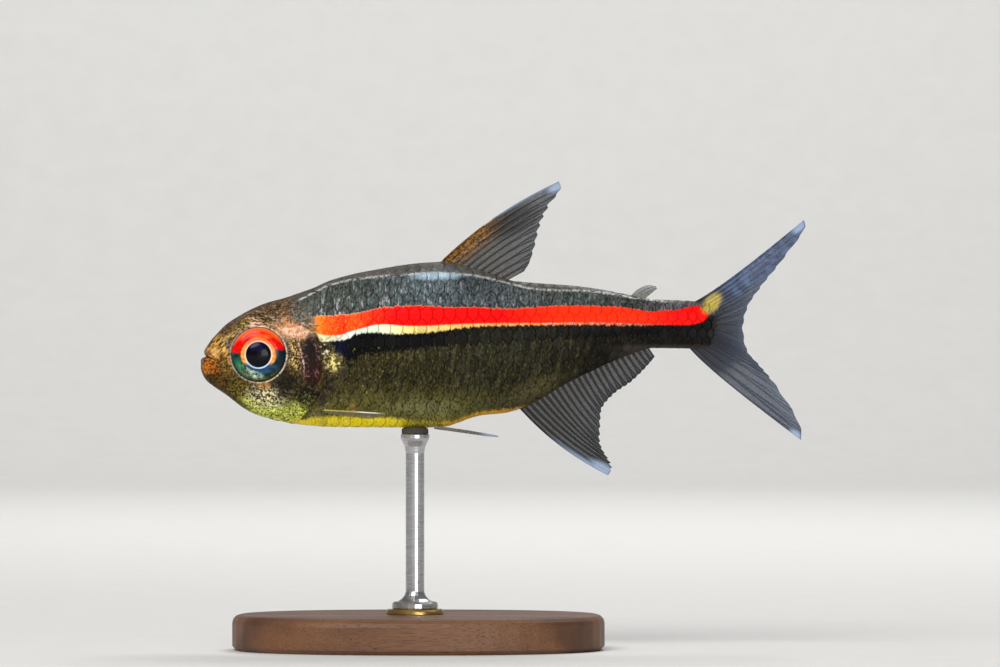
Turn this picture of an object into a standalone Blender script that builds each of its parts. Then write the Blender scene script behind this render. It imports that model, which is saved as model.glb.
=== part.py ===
"""Amapa tetra (Hyphessobrycon amapaensis): a still, life-size model on a plain display stand.

Head towards -X, tail towards +X, the fish's left side towards -Y, up is +Z.
Everything is worked out in millimetres and turned to metres at the end.
  s   distance back from the tip of the lower jaw, along the length of the model
  up  height above the level of the body's axis
"""
import math

import bmesh
import bpy
import numpy as np

# ------------------------------------------------------------------ driving sizes, millimetres
TOTAL_LENGTH = 35.76      # tip of the lower jaw to the tip of the upper tail lobe
AXIS_HEIGHT = 18.0        # level of the body's axis above what the stand rests on
GAP = 0.30                # the thin cut between neighbouring pieces
AROUND = 30               # points round one section of the body

EYE_S, EYE_UP = 3.51, -0.56          # centre of the eye
EYE_RADIUS = 1.60
EYE_OUT, EYE_IN = 0.50, 0.88         # how far the ball stands out of, and goes into, its own middle plane
EYE_PLANE = 1.38                     # that plane's distance from the middle of the head

GILL_S, GILL_UP = 7.38, -1.50        # rearmost point of the gill cover
COVER_THICK = 0.55
TAIL_CUT = 26.90                     # trunk ends and the tail's stalk begins
STALK_END = 29.95

RAY_THICK, WEB_THICK = 0.62, 0.52    # a fin at a ray, and between two rays

STAND_S = 12.9                       # middle of the base, as a distance along the fish
BASE_HALF_LENGTH, BASE_HALF_WIDTH, BASE_HEIGHT = 11.0, 7.5, 2.1
BASE_BEVEL = 0.50
ROD_S, ROD_RADIUS, ROD_FOOT_RADIUS, ROD_HEAD_RADIUS = 12.70, 0.55, 1.35, 0.85

# Named stations of the body.
# name, s, top, bottom (both as heights above the axis), half width,
# level of the widest point (0 bottom, 1 top), roundness above it, roundness below it
STATIONS = (
    ("jaw_tip", 0.00, -0.94, -1.18, 0.00, 0.50, 2.00, 2.00),
    ("lips", 0.30, -0.15, -2.06, 0.60, 0.50, 2.00, 2.00),
    ("snout", 0.83, 0.56, -2.54, 0.93, 0.50, 2.00, 2.00),
    ("nostril", 1.54, 1.28, -3.01, 1.20, 0.49, 2.00, 1.95),
    ("eye_front", 2.48, 1.89, -3.72, 1.42, 0.48, 2.05, 1.90),
    ("eye_middle", 3.54, 2.42, -4.25, 1.62, 0.47, 2.10, 1.85),
    ("eye_rear", 4.96, 2.85, -4.62, 1.80, 0.48, 2.10, 1.85),
    ("nape", 6.50, 3.37, -4.83, 1.93, 0.50, 2.00, 1.90),
    ("gill_edge", 7.80, 3.92, -4.91, 2.02, 0.51, 1.90, 2.00),
    ("shoulder", 9.92, 4.44, -4.93, 2.05, 0.53, 1.85, 2.05),
    ("dorsal_front", 14.06, 4.96, -4.94, 1.92, 0.55, 1.75, 2.00),
    ("belly_rear", 16.65, 4.43, -4.22, 1.72, 0.56, 1.75, 1.90),
    ("dorsal_rear", 18.07, 3.94, -4.08, 1.60, 0.57, 1.80, 1.80),
    ("anal_front", 18.66, 3.84, -3.90, 1.55, 0.57, 1.80, 1.75),
    ("anal_middle", 22.44, 3.53, -1.89, 1.20, 0.56, 1.85, 1.70),
    ("adipose", 25.40, 3.02, -0.59, 0.92, 0.52, 1.95, 1.80),
    ("anal_rear", 26.58, 2.78, -0.25, 0.80, 0.50, 2.00, 1.95),
    ("stalk", 28.35, 2.70, -0.27, 0.66, 0.50, 2.10, 2.10),
    ("tail_root", 30.00, 2.63, -0.30, 0.52, 0.50, 2.20, 2.20),
)

# Front line of the closed mouth seen from the side: height above the axis, s.
FRONT_LINE = ((-1.72, 0.09), (-1.42, 0.0), (-1.06, 0.0), (-0.86, 0.03), (-0.74, 0.15), (-0.66, 0.30),
              (-0.58, 0.27), (-0.47, 0.23), (-0.30, 0.24), (0.00, 0.35), (0.20, 0.48))

# Outer edge of each median fin: share of the way along the base, s, up.
DORSAL_BASE = (14.00, 18.00)
DORSAL_EDGE = ((0.00, 21.18, 9.66), (0.10, 21.32, 9.30), (0.28, 20.60, 8.20),
               (0.50, 20.08, 7.05), (0.70, 19.79, 5.90), (0.87, 19.49, 4.95), (1.00, 19.14, 4.35))
ANAL_BASE = (18.75, 26.40)
ANAL_EDGE = ((0.00, 24.10, -7.70), (0.08, 24.33, -7.25), (0.30, 23.62, -5.60), (0.45, 23.68, -4.00),
             (0.60, 24.39, -2.95), (0.75, 25.45, -2.19), (0.90, 26.40, -1.25), (1.00, 26.85, -0.68))
TAIL_BASE_TOP, TAIL_BASE_LOW = (30.12, 2.84), (29.92, -0.52)
TAIL_BASE_BULGE = 0.34
TAIL_EDGE = ((0.00, 35.66, 7.38), (0.05, TOTAL_LENGTH, 7.05), (0.17, 34.35, 4.95), (0.30, 33.15, 3.45),
             (0.42, 32.30, 2.10), (0.50, 32.08, 1.00), (0.58, 32.30, -0.25), (0.70, 33.05, -1.20),
             (0.83, 33.90, -2.20), (0.95, 35.52, -5.05), (1.00, 35.50, -5.62))

MATERIALS = {
    "skin_head": ((0.30, 0.22, 0.10), 0.35, 0.0),
    "skin_flank": ((0.16, 0.16, 0.10), 0.32, 0.0),
    "eye": ((0.45, 0.06, 0.03), 0.10, 0.0),
    "fin": ((0.20, 0.22, 0.24), 0.40, 0.0),
    "base_wood": ((0.09, 0.05, 0.03), 0.35, 0.0),
    "rod_steel": ((0.60, 0.60, 0.60), 0.25, 1.0),
}


# ------------------------------------------------------------------ curves
def smooth(xs, ys, x):
    """A smooth curve through the points (xs, ys) that never swings past them."""
    xs, ys, x = np.asarray(xs, float), np.asarray(ys, float), np.asarray(x, float)
    h = np.diff(xs)
    d = np.diff(ys) / h
    m = np.zeros(len(xs))
    for i in range(1, len(xs) - 1):
        if d[i - 1] * d[i] > 0:
            w1, w2 = 2 * h[i] + h[i - 1], h[i] + 2 * h[i - 1]
            m[i] = (w1 + w2) / (w1 / d[i - 1] + w2 / d[i])
    m[0], m[-1] = d[0], d[-1]
    x = np.clip(x, xs[0], xs[-1])
    i = np.clip(np.searchsorted(xs, x, side="right") - 1, 0, len(h) - 1)
    t = (x - xs[i]) / h[i]
    return ((2 * t**3 - 3 * t**2 + 1) * ys[i] + (t**3 - 2 * t**2 + t) * h[i] * m[i]
            + (3 * t**2 - 2 * t**3) * ys[i + 1] + (t**3 - t**2) * h[i] * m[i + 1])


def station(column, s):
    """One column of the station table at s; the root of s keeps the snout blunt."""
    xs = [math.sqrt(row[1]) for row in STATIONS]
    ys = [row[column] for row in STATIONS]
    return float(smooth(xs, ys, math.sqrt(max(s, 0.0))))


def section(s, inset=0.0):
    """Top, bottom, half width, widest level and the two roundnesses of the body's section at s."""
    top, low = station(2, s) - inset, station(3, s) + inset
    half = max(station(4, s) - inset, 0.0)
    level = low + (top - low) * station(5, s)
    return top, low, half, level, station(6, s), station(7, s)


def around(s, angle, inset=0.0):
    """Point of the section at s; angle 0 is the back, a half turn is the belly, +Y side first."""
    top, low, half, level, n_top, n_low = section(s, inset)
    c, k = math.cos(angle), math.sin(angle)
    reach, n = (top - level, n_top) if c >= 0 else (level - low, n_low)
    up = level + math.copysign(abs(c) ** (2 / n), c) * reach
    y = math.copysign(abs(k) ** (2 / n), k) * half
    return y, up


def half_width(s, up):
    """Half width of the body at s and up."""
    top, low, half, level, n_top, n_low = section(s)
    q, n = ((up - level) / (top - level), n_top) if up >= level else ((level - up) / (level - low), n_low)
    return half * max(0.0, 1 - min(abs(q), 1.0) ** n) ** (1 / n)


def gill_edge(up):
    """The s of the gill cover's rear edge at the height up, and of the cut above and below it."""
    d = up - GILL_UP
    if d < 0:
        return GILL_S - 0.17 * d * d
    return GILL_S - 0.90 * (1 - math.exp(-((d / 2.2) ** 2)))


def front_line(up):
    return float(np.interp(up, [row[0] for row in FRONT_LINE], [row[1] for row in FRONT_LINE], left=-1.0, right=-1.0))


def place(s, y, up):
    return (s - TOTAL_LENGTH / 2, y, AXIS_HEIGHT + up)


# ------------------------------------------------------------------ meshes
def mesh_object(name, points, faces):
    """One closed body from points and faces, its faces turned outwards."""
    mesh = bpy.data.meshes.new(name)
    bm = bmesh.new()
    verts = [bm.verts.new(p) for p in points]
    for face in faces:
        bm.faces.new([verts[i] for i in face])
    bmesh.ops.recalc_face_normals(bm, faces=bm.faces)
    if bm.calc_volume(signed=True) < 0:
        bmesh.ops.reverse_faces(bm, faces=bm.faces)
    bm.to_mesh(mesh)
    bm.free()
    obj = bpy.data.objects.new(name, mesh)
    bpy.context.scene.collection.objects.link(obj)
    return obj


def loft(name, rings, start=None, end=None):
    """A closed body through rings of equal count; start and end are the middle points of its ends."""
    points, faces = [], []
    n = len(rings[0])
    for ring in rings:
        points.extend(ring)
    for i in range(len(rings) - 1):
        for k in range(n):
            a, b = i * n + k, i * n + (k + 1) % n
            faces.append((a, b, b + n, a + n))
    for ring, tip, flip in ((0, start, False), (len(rings) - 1, end, True)):
        points.append(tip)
        c = len(points) - 1
        for k in range(n):
            a, b = ring * n + k, ring * n + (k + 1) % n
            faces.append((c, b, a) if not flip else (c, a, b))
    return mesh_object(name, points, faces)


def body_ring(s_at, inset=0.0):
    """A ring of the body where s_at(up) gives the s of each point."""
    ring = []
    for k in range(AROUND):
        angle = 2 * math.pi * k / AROUND
        s, up = s_at(0.0), 0.0
        for _ in range(5):
            y, up = around(s, angle, inset)
            s = s_at(up)
        y, up = around(s, angle, inset)
        ring.append(place(s, y, up))
    return ring


def mid_point(s_at):
    s = s_at(-0.5)
    top, low, _, level, _, _ = section(s)
    return place(s_at(level), 0.0, level)


def body_between(name, first, last, count, inset=0.0, spread=1.0):
    """The body from the surface s = first(up) to the surface s = last(up)."""
    rings = []
    for i in range(count + 1):
        t = (i / count) ** spread
        rings.append(body_ring(lambda up, t=t: first(up) * (1 - t) + last(up) * t, inset))
    return loft(name, rings, mid_point(first), mid_point(last))


def prism(name, outline, y0, y1):
    """A straight block with the outline [(s, up), ...] in side view, from y0 to y1."""
    n = len(outline)
    points = [place(s, y0, up) for s, up in outline] + [place(s, y1, up) for s, up in outline]
    faces = [tuple(range(n)), tuple(range(2 * n - 1, n - 1, -1))]
    faces += [(i, (i + 1) % n, n + (i + 1) % n, n + i) for i in range(n)]
    return mesh_object(name, points, faces)


def widened(outline, by):
    """The outline moved outwards by the given distance, corners mitred."""
    n = len(outline)
    area = sum(outline[i][0] * outline[(i + 1) % n][1] - outline[(i + 1) % n][0] * outline[i][1] for i in range(n))
    sign = 1 if area > 0 else -1
    result = []
    for i in range(n):
        p, q, r = outline[i - 1], outline[i], outline[(i + 1) % n]
        a = (q[0] - p[0], q[1] - p[1])
        b = (r[0] - q[0], r[1] - q[1])
        la, lb = math.hypot(*a), math.hypot(*b)
        na = (sign * a[1] / la, -sign * a[0] / la)
        nb = (sign * b[1] / lb, -sign * b[0] / lb)
        m = (na[0] + nb[0], na[1] + nb[1])
        k = 2 * by / (m[0] ** 2 + m[1] ** 2)
        result.append((q[0] + m[0] * k, q[1] + m[1] * k))
    return result


def rounded_outline(s0, up0, a, b, power, count):
    """A closed, even outline between an ellipse and a box."""
    points = []
    for k in range(count):
        t = 2 * math.pi * k / count
        c, d = math.cos(t), math.sin(t)
        points.append((s0 + a * math.copysign(abs(c) ** (2 / power), c),
                       up0 + b * math.copysign(abs(d) ** (2 / power), d)))
    return points


def boolean(target, cutter, operation, keep_cutter=False):
    """The target's mesh after the exact operation with the cutter."""
    modifier = target.modifiers.new("cut", "BOOLEAN")
    modifier.operation, modifier.solver, modifier.object = operation, "EXACT", cutter
    bpy.context.view_layer.update()
    graph = bpy.context.evaluated_depsgraph_get()
    mesh = bpy.data.meshes.new_from_object(target.evaluated_get(graph))
    target.modifiers.remove(modifier)
    target.data = mesh
    if not keep_cutter:
        bpy.data.objects.remove(cutter)
    return target


def copy_of(obj, name):
    twin = bpy.data.objects.new(name, obj.data.copy())
    bpy.context.scene.collection.objects.link(twin)
    return twin


def ball(name, side, extra=0.0):
    """The eyeball: a flattened ball, deeper on its inner side. side is -1 for the left eye."""
    rows, cols = 9, 24
    r = EYE_RADIUS + extra
    rings = []
    for i in range(1, rows):
        t = math.pi * i / rows
        depth = (EYE_OUT if math.cos(t) > 0 else EYE_IN) + (extra if math.cos(t) > 0 else min(extra, 0.15))
        y = side * (EYE_PLANE + depth * math.cos(t))
        ring = []
        for k in range(cols):
            a = 2 * math.pi * k / cols
            ring.append(place(EYE_S + r * math.sin(t) * math.cos(a), y, EYE_UP + r * math.sin(t) * math.sin(a)))
        rings.append(ring)
    out = place(EYE_S, side * (EYE_PLANE + EYE_OUT + extra), EYE_UP)
    inner = place(EYE_S, side * (EYE_PLANE - EYE_IN - min(extra, 0.15)), EYE_UP)
    return loft(name, rings, out, inner)


def plate(name, grid, thick, normal):
    """A fin: a grid of middle points made solid, thick[i][j] across, along the direction normal."""
    rows, cols = len(grid), len(grid[0])
    nx, ny, nz = normal
    points = []
    for sign in (0.5, -0.5):
        for i in range(rows):
            for j in range(cols):
                t = thick[i][j] * sign
                x, y, z = grid[i][j]
                points.append((x + nx * t, y + ny * t, z + nz * t))
    half = rows * cols
    faces = []
    for i in range(rows - 1):
        for j in range(cols - 1):
            a = i * cols + j
            faces.append((a, a + 1, a + cols + 1, a + cols))
            faces.append((half + a, half + a + cols, half + a + cols + 1, half + a + 1))
    rim = [j for j in range(cols)] + [i * cols + cols - 1 for i in range(1, rows)]
    rim += [(rows - 1) * cols + j for j in range(cols - 2, -1, -1)] + [i * cols for i in range(rows - 2, 0, -1)]
    for k in range(len(rim)):
        a, b = rim[k], rim[(k + 1) % len(rim)]
        faces.append((a, half + a, half + b, b))
    return mesh_object(name, points, faces)


def ray_thickness(i):
    return RAY_THICK if i % 2 == 0 else WEB_THICK


def median_fin(name, base_at, edge, rays, steps, bow):
    """A fin in the middle plane. base_at(u) and the edge give each ray's two ends, bow(u) how far it bends."""
    us = [row[0] for row in edge]
    grid, thick = [], []
    for i in range(2 * rays + 1):
        u = i / (2 * rays)
        p = base_at(u)
        q = (float(smooth(us, [r[1] for r in edge], u)), float(smooth(us, [r[2] for r in edge], u)))
        d = (q[0] - p[0], q[1] - p[1])
        row, across = [], []
        for j in range(steps + 1):
            v = j / steps
            k = 4 * v * (1 - v) * bow(u)
            row.append(place(p[0] + d[0] * v - d[1] * k, 0.0, p[1] + d[1] * v + d[0] * k))
            across.append(ray_thickness(i) if 0 < i < 2 * rays else WEB_THICK)
        grid.append(row)
        thick.append(across)
    return plate(name, grid, thick, (0.0, 1.0, 0.0))


def unit(v):
    length = math.sqrt(sum(c * c for c in v))
    return tuple(c / length for c in v)


def paired_fin(name, side, root, base, lead, trail, longest, shortest, rays, steps):
    """A fan of rays from a short base; side -1 is the left fin, which the sizes describe with y outwards."""
    grid, thick = [], []
    for i in range(2 * rays + 1):
        u = i / (2 * rays)
        d = unit(tuple(lead[c] * (1 - u) + trail[c] * u for c in range(3)))
        length = longest + (shortest - longest) * u**1.3 - 0.25 * math.exp(-u * 14)
        row = []
        for j in range(steps + 1):
            v = j / steps
            s, y, up = (root[c] + base[c] * u + d[c] * length * v for c in range(3))
            row.append(place(s, side * y, up))
        grid.append(row)
        thick.append([ray_thickness(i) if 0 < i < 2 * rays else WEB_THICK] * (steps + 1))
    a, b = unit(lead), unit(trail)
    normal = unit((a[1] * b[2] - a[2] * b[1], a[2] * b[0] - a[0] * b[2], a[0] * b[1] - a[1] * b[0]))
    return plate(name, grid, thick, (normal[0], side * normal[1], normal[2]))


def turned(name, s0, profile, count):
    """A turned piece about the upright line at s0; profile is [(radius, height), ...] from its foot up."""
    rings = [[(s0 - TOTAL_LENGTH / 2 + r * math.cos(2 * math.pi * k / count), r * math.sin(2 * math.pi * k / count), z)
              for k in range(count)] for r, z in profile]
    x = s0 - TOTAL_LENGTH / 2
    return loft(name, rings, (x, 0.0, profile[0][1]), (x, 0.0, profile[-1][1]))


# ------------------------------------------------------------------ the pieces
def build():
    for obj in list(bpy.data.objects):
        bpy.data.objects.remove(obj)
    pieces = {}

    # Head, cut free of the trunk along the gill opening.
    rings = []
    for i in range(1, 16):
        t = (i / 15) ** 1.6
        rings.append(body_ring(lambda up, t=t: gill_edge(up) * t))
    whole_head = loft("head", rings, place(0.0, 0.0, -1.06), mid_point(gill_edge))
    for vertex in whole_head.data.vertices:      # blunt lips: nothing reaches past the mouth's front line
        front = front_line(vertex.co.z - AXIS_HEIGHT)
        if vertex.co.x + TOTAL_LENGTH / 2 < front:
            vertex.co.x = front - TOTAL_LENGTH / 2

    # Gill covers: the outer layer of the cheek behind the eye, one on each side.
    cover_outline = rounded_outline(7.40, -1.60, 1.72, 2.62, 2.4, 32)
    core = body_between("core", lambda up: 3.2, lambda up: 9.5, 14, inset=COVER_THICK)
    deep_core = body_between("deep_core", lambda up: 3.2, lambda up: 9.5, 14, inset=COVER_THICK + GAP)
    for side, label in ((-1, "left"), (1, "right")):
        y0, y1 = (-4.0, -0.2) if side < 0 else (0.2, 4.0)
        cover = copy_of(whole_head, "gill_cover_" + label)
        boolean(cover, prism("cutter", cover_outline, y0, y1), "INTERSECT")
        boolean(cover, core, "DIFFERENCE", keep_cutter=True)
        pieces["gill_cover_" + label] = (cover, "skin_head")
    recess = prism("recess", widened(cover_outline, GAP), -4.2, 4.2)
    boolean(recess, deep_core, "DIFFERENCE")
    bpy.data.objects.remove(core)
    boolean(whole_head, recess, "DIFFERENCE")

    # Lower jaw: mouth slit, corner of the mouth, jaw joint under the front of the eye, chin.
    jaw_outline = [(-1.5, -0.62), (0.12, -0.67), (0.97, -0.90), (1.50, -1.62), (2.05, -2.50), (2.22, -3.10),
                   (2.30, -5.5), (-1.5, -5.5)]
    jaw = copy_of(whole_head, "lower_jaw")
    boolean(jaw, prism("cutter", jaw_outline, -3.0, 3.0), "INTERSECT")
    boolean(whole_head, prism("cutter", widened(jaw_outline, GAP), -3.0, 3.0), "DIFFERENCE")
    pieces["lower_jaw"] = (jaw, "skin_head")

    for side, label in ((-1, "left"), (1, "right")):
        boolean(whole_head, ball("socket", side, GAP), "DIFFERENCE")
        pieces["eye_" + label] = (ball("eye_" + label, side), "eye")
    pieces["head"] = (whole_head, "skin_head")

    # Trunk and the tail's stalk, which ends rounded inside the root of the tail fin.
    trunk = body_between("trunk", lambda up: gill_edge(up) + GAP, lambda up: TAIL_CUT, 22)
    pieces["trunk"] = (trunk, "skin_flank")
    rings = []
    for i in range(4):
        rings.append(body_ring(lambda up, i=i: TAIL_CUT + GAP + (28.9 - TAIL_CUT - GAP) * i / 3))
    top, low, _, level, _, _ = section(28.9)
    for share in (0.45, 0.75, 0.92):
        shrink = math.sqrt(1 - share**2) * 0.75 + 0.25
        s = 28.9 + (STALK_END - 28.9) * share
        middle = place(s, 0.0, level)
        rings.append([tuple(middle[c] + (p[c] - middle[c]) * (shrink if c else 0.0) for c in range(3))
                      for p in body_ring(lambda up, s=s: s)])
    stalk = loft("caudal_peduncle", rings, place(TAIL_CUT + GAP, 0.0, level), place(STALK_END, 0.0, level))
    pieces["caudal_peduncle"] = (stalk, "skin_flank")

    # Fins of the middle plane.
    def along(base, side):
        column = 2 if side > 0 else 3
        return lambda u: (base[0] + (base[1] - base[0]) * u,
                          station(column, base[0] + (base[1] - base[0]) * u) + side * GAP)

    dorsal = median_fin("dorsal_fin", along(DORSAL_BASE, 1), DORSAL_EDGE, 11, 5,
                        lambda u: 0.034 * (1 - u) + 0.012)
    pieces["dorsal_fin"] = (dorsal, "fin")
    anal = median_fin("anal_fin", along(ANAL_BASE, -1), ANAL_EDGE, 14, 4, lambda u: -0.05 * (1 - u))
    pieces["anal_fin"] = (anal, "fin")

    def tail_base(u):
        top, low = TAIL_BASE_TOP, TAIL_BASE_LOW
        w = abs(2 * u - 1) ** 6
        return (top[0] + (low[0] - top[0]) * u + TAIL_BASE_BULGE * (1 - w), top[1] + (low[1] - top[1]) * u)

    tail = median_fin("caudal_fin", tail_base, TAIL_EDGE, 18, 5,
                      lambda u: -0.085 * max(0.0, 2 * u - 1) ** 4)
    pieces["caudal_fin"] = (tail, "fin")

    adipose_edge = ((0.0, 26.55, 3.55), (0.25, 26.92, 3.46), (0.5, 26.98, 3.33), (1.0, 26.86, 3.22))
    adipose = median_fin("adipose_fin", along((25.45, 26.25), 1), adipose_edge, 3, 3, lambda u: 0.10 * (1 - u))
    pieces["adipose_fin"] = (adipose, "fin")

    # Paired fins, clear of the flank and belly.
    for side, label in ((-1, "left"), (1, "right")):
        s, up = 7.25, -3.72
        root = (s, half_width(s, up) + GAP + 0.30, up)
        pectoral = paired_fin("pectoral_fin_" + label, side, root, (0.10, -0.12, -0.26),
                              (0.950, 0.305, -0.050), (0.965, 0.130, -0.130), 4.05, 2.5, 6, 4)
        pieces["pectoral_fin_" + label] = (pectoral, "fin")
        s, y = 14.05, 0.72
        root = (s, y, -4.94 - 0.22)
        pelvic = paired_fin("pelvic_fin_" + label, side, root, (0.45, -0.34, -0.10),
                            (0.965, 0.230, -0.110), (0.985, 0.030, -0.060), 3.75, 2.5, 5, 4)
        pieces["pelvic_fin_" + label] = (pelvic, "fin")

    # Display stand: an oval base with a softened upper edge, and one turned rod up to the belly.
    def oval(inset, z, count=48):
        a, b = BASE_HALF_LENGTH - inset, BASE_HALF_WIDTH - inset
        return [(STAND_S - TOTAL_LENGTH / 2 + x, y, z) for x, y in
                ((p[0], p[1]) for p in rounded_outline(0.0, 0.0, a, b, 2.25, count))]

    rings = [oval(0.25, 0.0), oval(0.0, 0.25)]
    for k in range(4):
        a = math.pi / 2 * k / 3
        rings.append(oval(BASE_BEVEL * (1 - math.cos(a)), BASE_HEIGHT - BASE_BEVEL * (1 - math.sin(a))))
    x = STAND_S - TOTAL_LENGTH / 2
    pieces["stand_base"] = (loft("stand_base", rings, (x, 0.0, 0.0), (x, 0.0, BASE_HEIGHT)), "base_wood")

    foot = BASE_HEIGHT + GAP
    head = AXIS_HEIGHT + station(3, ROD_S) - GAP
    profile = [(ROD_FOOT_RADIUS - 0.08, foot), (ROD_FOOT_RADIUS, foot + 0.08), (ROD_FOOT_RADIUS, foot + 0.34),
               (ROD_FOOT_RADIUS - 0.10, foot + 0.44)]
    for k in range(1, 5):
        a = math.pi / 2 * k / 4
        profile.append((ROD_RADIUS + 0.55 * (1 - math.sin(a)) + 0.15 * (1 - k / 4), foot + 0.44 + 0.6 * (1 - math.cos(a))))
    profile += [(ROD_RADIUS, head - 1.15), (ROD_RADIUS + 0.06, head - 0.75), (ROD_HEAD_RADIUS - 0.06, head - 0.40),
                (ROD_HEAD_RADIUS, head - 0.25), (ROD_HEAD_RADIUS, head - 0.06), (ROD_HEAD_RADIUS - 0.06, head)]
    pieces["stand_rod"] = (turned("stand_rod", ROD_S, profile, 20), "rod_steel")

    materials = {}
    for name, (colour, roughness, metallic) in MATERIALS.items():
        material = bpy.data.materials.new(name)
        material.use_nodes = True
        shader = material.node_tree.nodes["Principled BSDF"]
        shader.inputs["Base Color"].default_value = (*colour, 1.0)
        shader.inputs["Roughness"].default_value = roughness
        shader.inputs["Metallic"].default_value = metallic
        materials[name] = material

    for name, (obj, slot) in pieces.items():
        obj.name = name
        mesh = obj.data
        mesh.name = name
        bm = bmesh.new()
        bm.from_mesh(mesh)
        bmesh.ops.scale(bm, vec=(0.001, 0.001, 0.001), verts=bm.verts)
        bm.to_mesh(mesh)
        bm.free()
        mesh.materials.clear()
        mesh.materials.append(materials[slot])
        mesh.shade_smooth()
        mesh.set_sharp_from_angle(angle=math.radians(35))


build()
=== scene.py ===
"""Looks of the amapa tetra, a still, life-size display model.

Side-view drawing units: one unit is UNIT millimetres; x runs back from 200 at the tip of the lower jaw,
y runs down and is 345 at the level of the body's axis. Lengths marked mm are millimetres.
"""
import math

import bpy
import numpy as np
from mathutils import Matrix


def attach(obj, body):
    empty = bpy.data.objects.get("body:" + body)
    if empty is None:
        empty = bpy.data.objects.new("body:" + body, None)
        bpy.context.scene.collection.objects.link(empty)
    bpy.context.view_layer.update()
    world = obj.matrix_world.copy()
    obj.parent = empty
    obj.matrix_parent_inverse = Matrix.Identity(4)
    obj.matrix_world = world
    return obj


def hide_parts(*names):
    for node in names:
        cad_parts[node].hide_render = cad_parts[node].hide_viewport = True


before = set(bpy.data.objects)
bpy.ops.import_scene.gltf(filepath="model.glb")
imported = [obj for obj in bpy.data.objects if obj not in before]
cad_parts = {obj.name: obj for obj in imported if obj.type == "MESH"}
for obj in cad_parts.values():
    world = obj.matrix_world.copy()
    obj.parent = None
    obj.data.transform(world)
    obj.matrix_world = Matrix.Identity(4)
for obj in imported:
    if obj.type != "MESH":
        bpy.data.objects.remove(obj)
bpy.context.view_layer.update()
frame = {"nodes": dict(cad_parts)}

MM = 0.001
UNIT = 0.05906
LENGTH, AXIS = 35.76, 18.0
COAT = 0.07                      # depth of the scale coat, mm
rng = np.random.default_rng(7)


def S(x):
    return (x - 200.0) * UNIT


def U(y):
    return (345.0 - y) * UNIT


# ------------------------------------------------------------------ the body's form, as in the solids
STATION = np.array([
    # s, top, bottom, half width, widest level, roundness above, roundness below
    (0.00, -0.94, -1.18, 0.00, 0.50, 2.00, 2.00),
    (0.30, -0.15, -2.06, 0.60, 0.50, 2.00, 2.00),
    (0.83, 0.56, -2.54, 0.93, 0.50, 2.00, 2.00),
    (1.54, 1.28, -3.01, 1.20, 0.49, 2.00, 1.95),
    (2.48, 1.89, -3.72, 1.42, 0.48, 2.05, 1.90),
    (3.54, 2.42, -4.25, 1.62, 0.47, 2.10, 1.85),
    (4.96, 2.85, -4.62, 1.80, 0.48, 2.10, 1.85),
    (6.50, 3.37, -4.83, 1.93, 0.50, 2.00, 1.90),
    (7.80, 3.92, -4.91, 2.02, 0.51, 1.90, 2.00),
    (9.92, 4.44, -4.93, 2.05, 0.53, 1.85, 2.05),
    (14.06, 4.96, -4.94, 1.92, 0.55, 1.75, 2.00),
    (16.65, 4.43, -4.22, 1.72, 0.56, 1.75, 1.90),
    (18.07, 3.94, -4.08, 1.60, 0.57, 1.80, 1.80),
    (18.66, 3.84, -3.90, 1.55, 0.57, 1.80, 1.75),
    (22.44, 3.53, -1.89, 1.20, 0.56, 1.85, 1.70),
    (25.40, 3.02, -0.59, 0.92, 0.52, 1.95, 1.80),
    (26.58, 2.78, -0.25, 0.80, 0.50, 2.00, 1.95),
    (28.35, 2.70, -0.27, 0.66, 0.50, 2.10, 2.10),
    (30.00, 2.63, -0.30, 0.52, 0.50, 2.20, 2.20)])
EYE_S, EYE_UP, EYE_RADIUS, EYE_OUT, EYE_PLANE = 3.51, -0.56, 1.60, 0.50, 1.38


def smooth(xs, ys, x):
    """A smooth curve through the points (xs, ys) that never swings past them."""
    xs, ys, x = np.asarray(xs, float), np.asarray(ys, float), np.asarray(x, float)
    h = np.diff(xs)
    d = np.diff(ys) / h
    m = np.zeros(len(xs))
    for i in range(1, len(xs) - 1):
        if d[i - 1] * d[i] > 0:
            w1, w2 = 2 * h[i] + h[i - 1], h[i] + 2 * h[i - 1]
            m[i] = (w1 + w2) / (w1 / d[i - 1] + w2 / d[i])
    m[0], m[-1] = d[0], d[-1]
    x = np.clip(x, xs[0], xs[-1])
    i = np.clip(np.searchsorted(xs, x, side="right") - 1, 0, len(h) - 1)
    t = (x - xs[i]) / h[i]
    return ((2 * t**3 - 3 * t**2 + 1) * ys[i] + (t**3 - 2 * t**2 + t) * h[i] * m[i]
            + (3 * t**2 - 2 * t**3) * ys[i + 1] + (t**3 - t**2) * h[i] * m[i + 1])


def station(column, s):
    return smooth(np.sqrt(STATION[:, 0]), STATION[:, column], np.sqrt(np.maximum(s, 0.0)))


def body(s, angle, inset=0.0):
    """y and up of the body at s; angle 0 is the back, pi the belly, on the +Y side."""
    top, low = station(1, s) - inset, station(2, s) + inset
    half = np.maximum(station(3, s) - inset, 0.0)
    level = low + (top - low) * station(4, s)
    c, k = np.cos(angle), np.sin(angle)
    above = c >= 0
    reach = np.where(above, top - level, level - low)
    n = np.where(above, station(5, s), station(6, s))
    up = level + np.sign(c) * np.abs(c) ** (2 / n) * reach
    y = np.sign(k) * np.abs(k) ** (2 / n) * half
    return y, up


def ease(a, b, x):
    """0 below a, 1 above b, smooth between (or the other way round when a > b)."""
    t = np.clip((np.asarray(x, float) - a) / (b - a), 0.0, 1.0)
    return t * t * (3 - 2 * t)


def bell(d, width):
    return np.exp(-((d / width) ** 2))


def gill_edge(up):
    d = np.asarray(up, float) + 1.50
    return np.where(d < 0, 7.38 - 0.17 * d * d, 7.38 - 0.90 * (1 - np.exp(-((d / 2.2) ** 2))))


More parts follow.
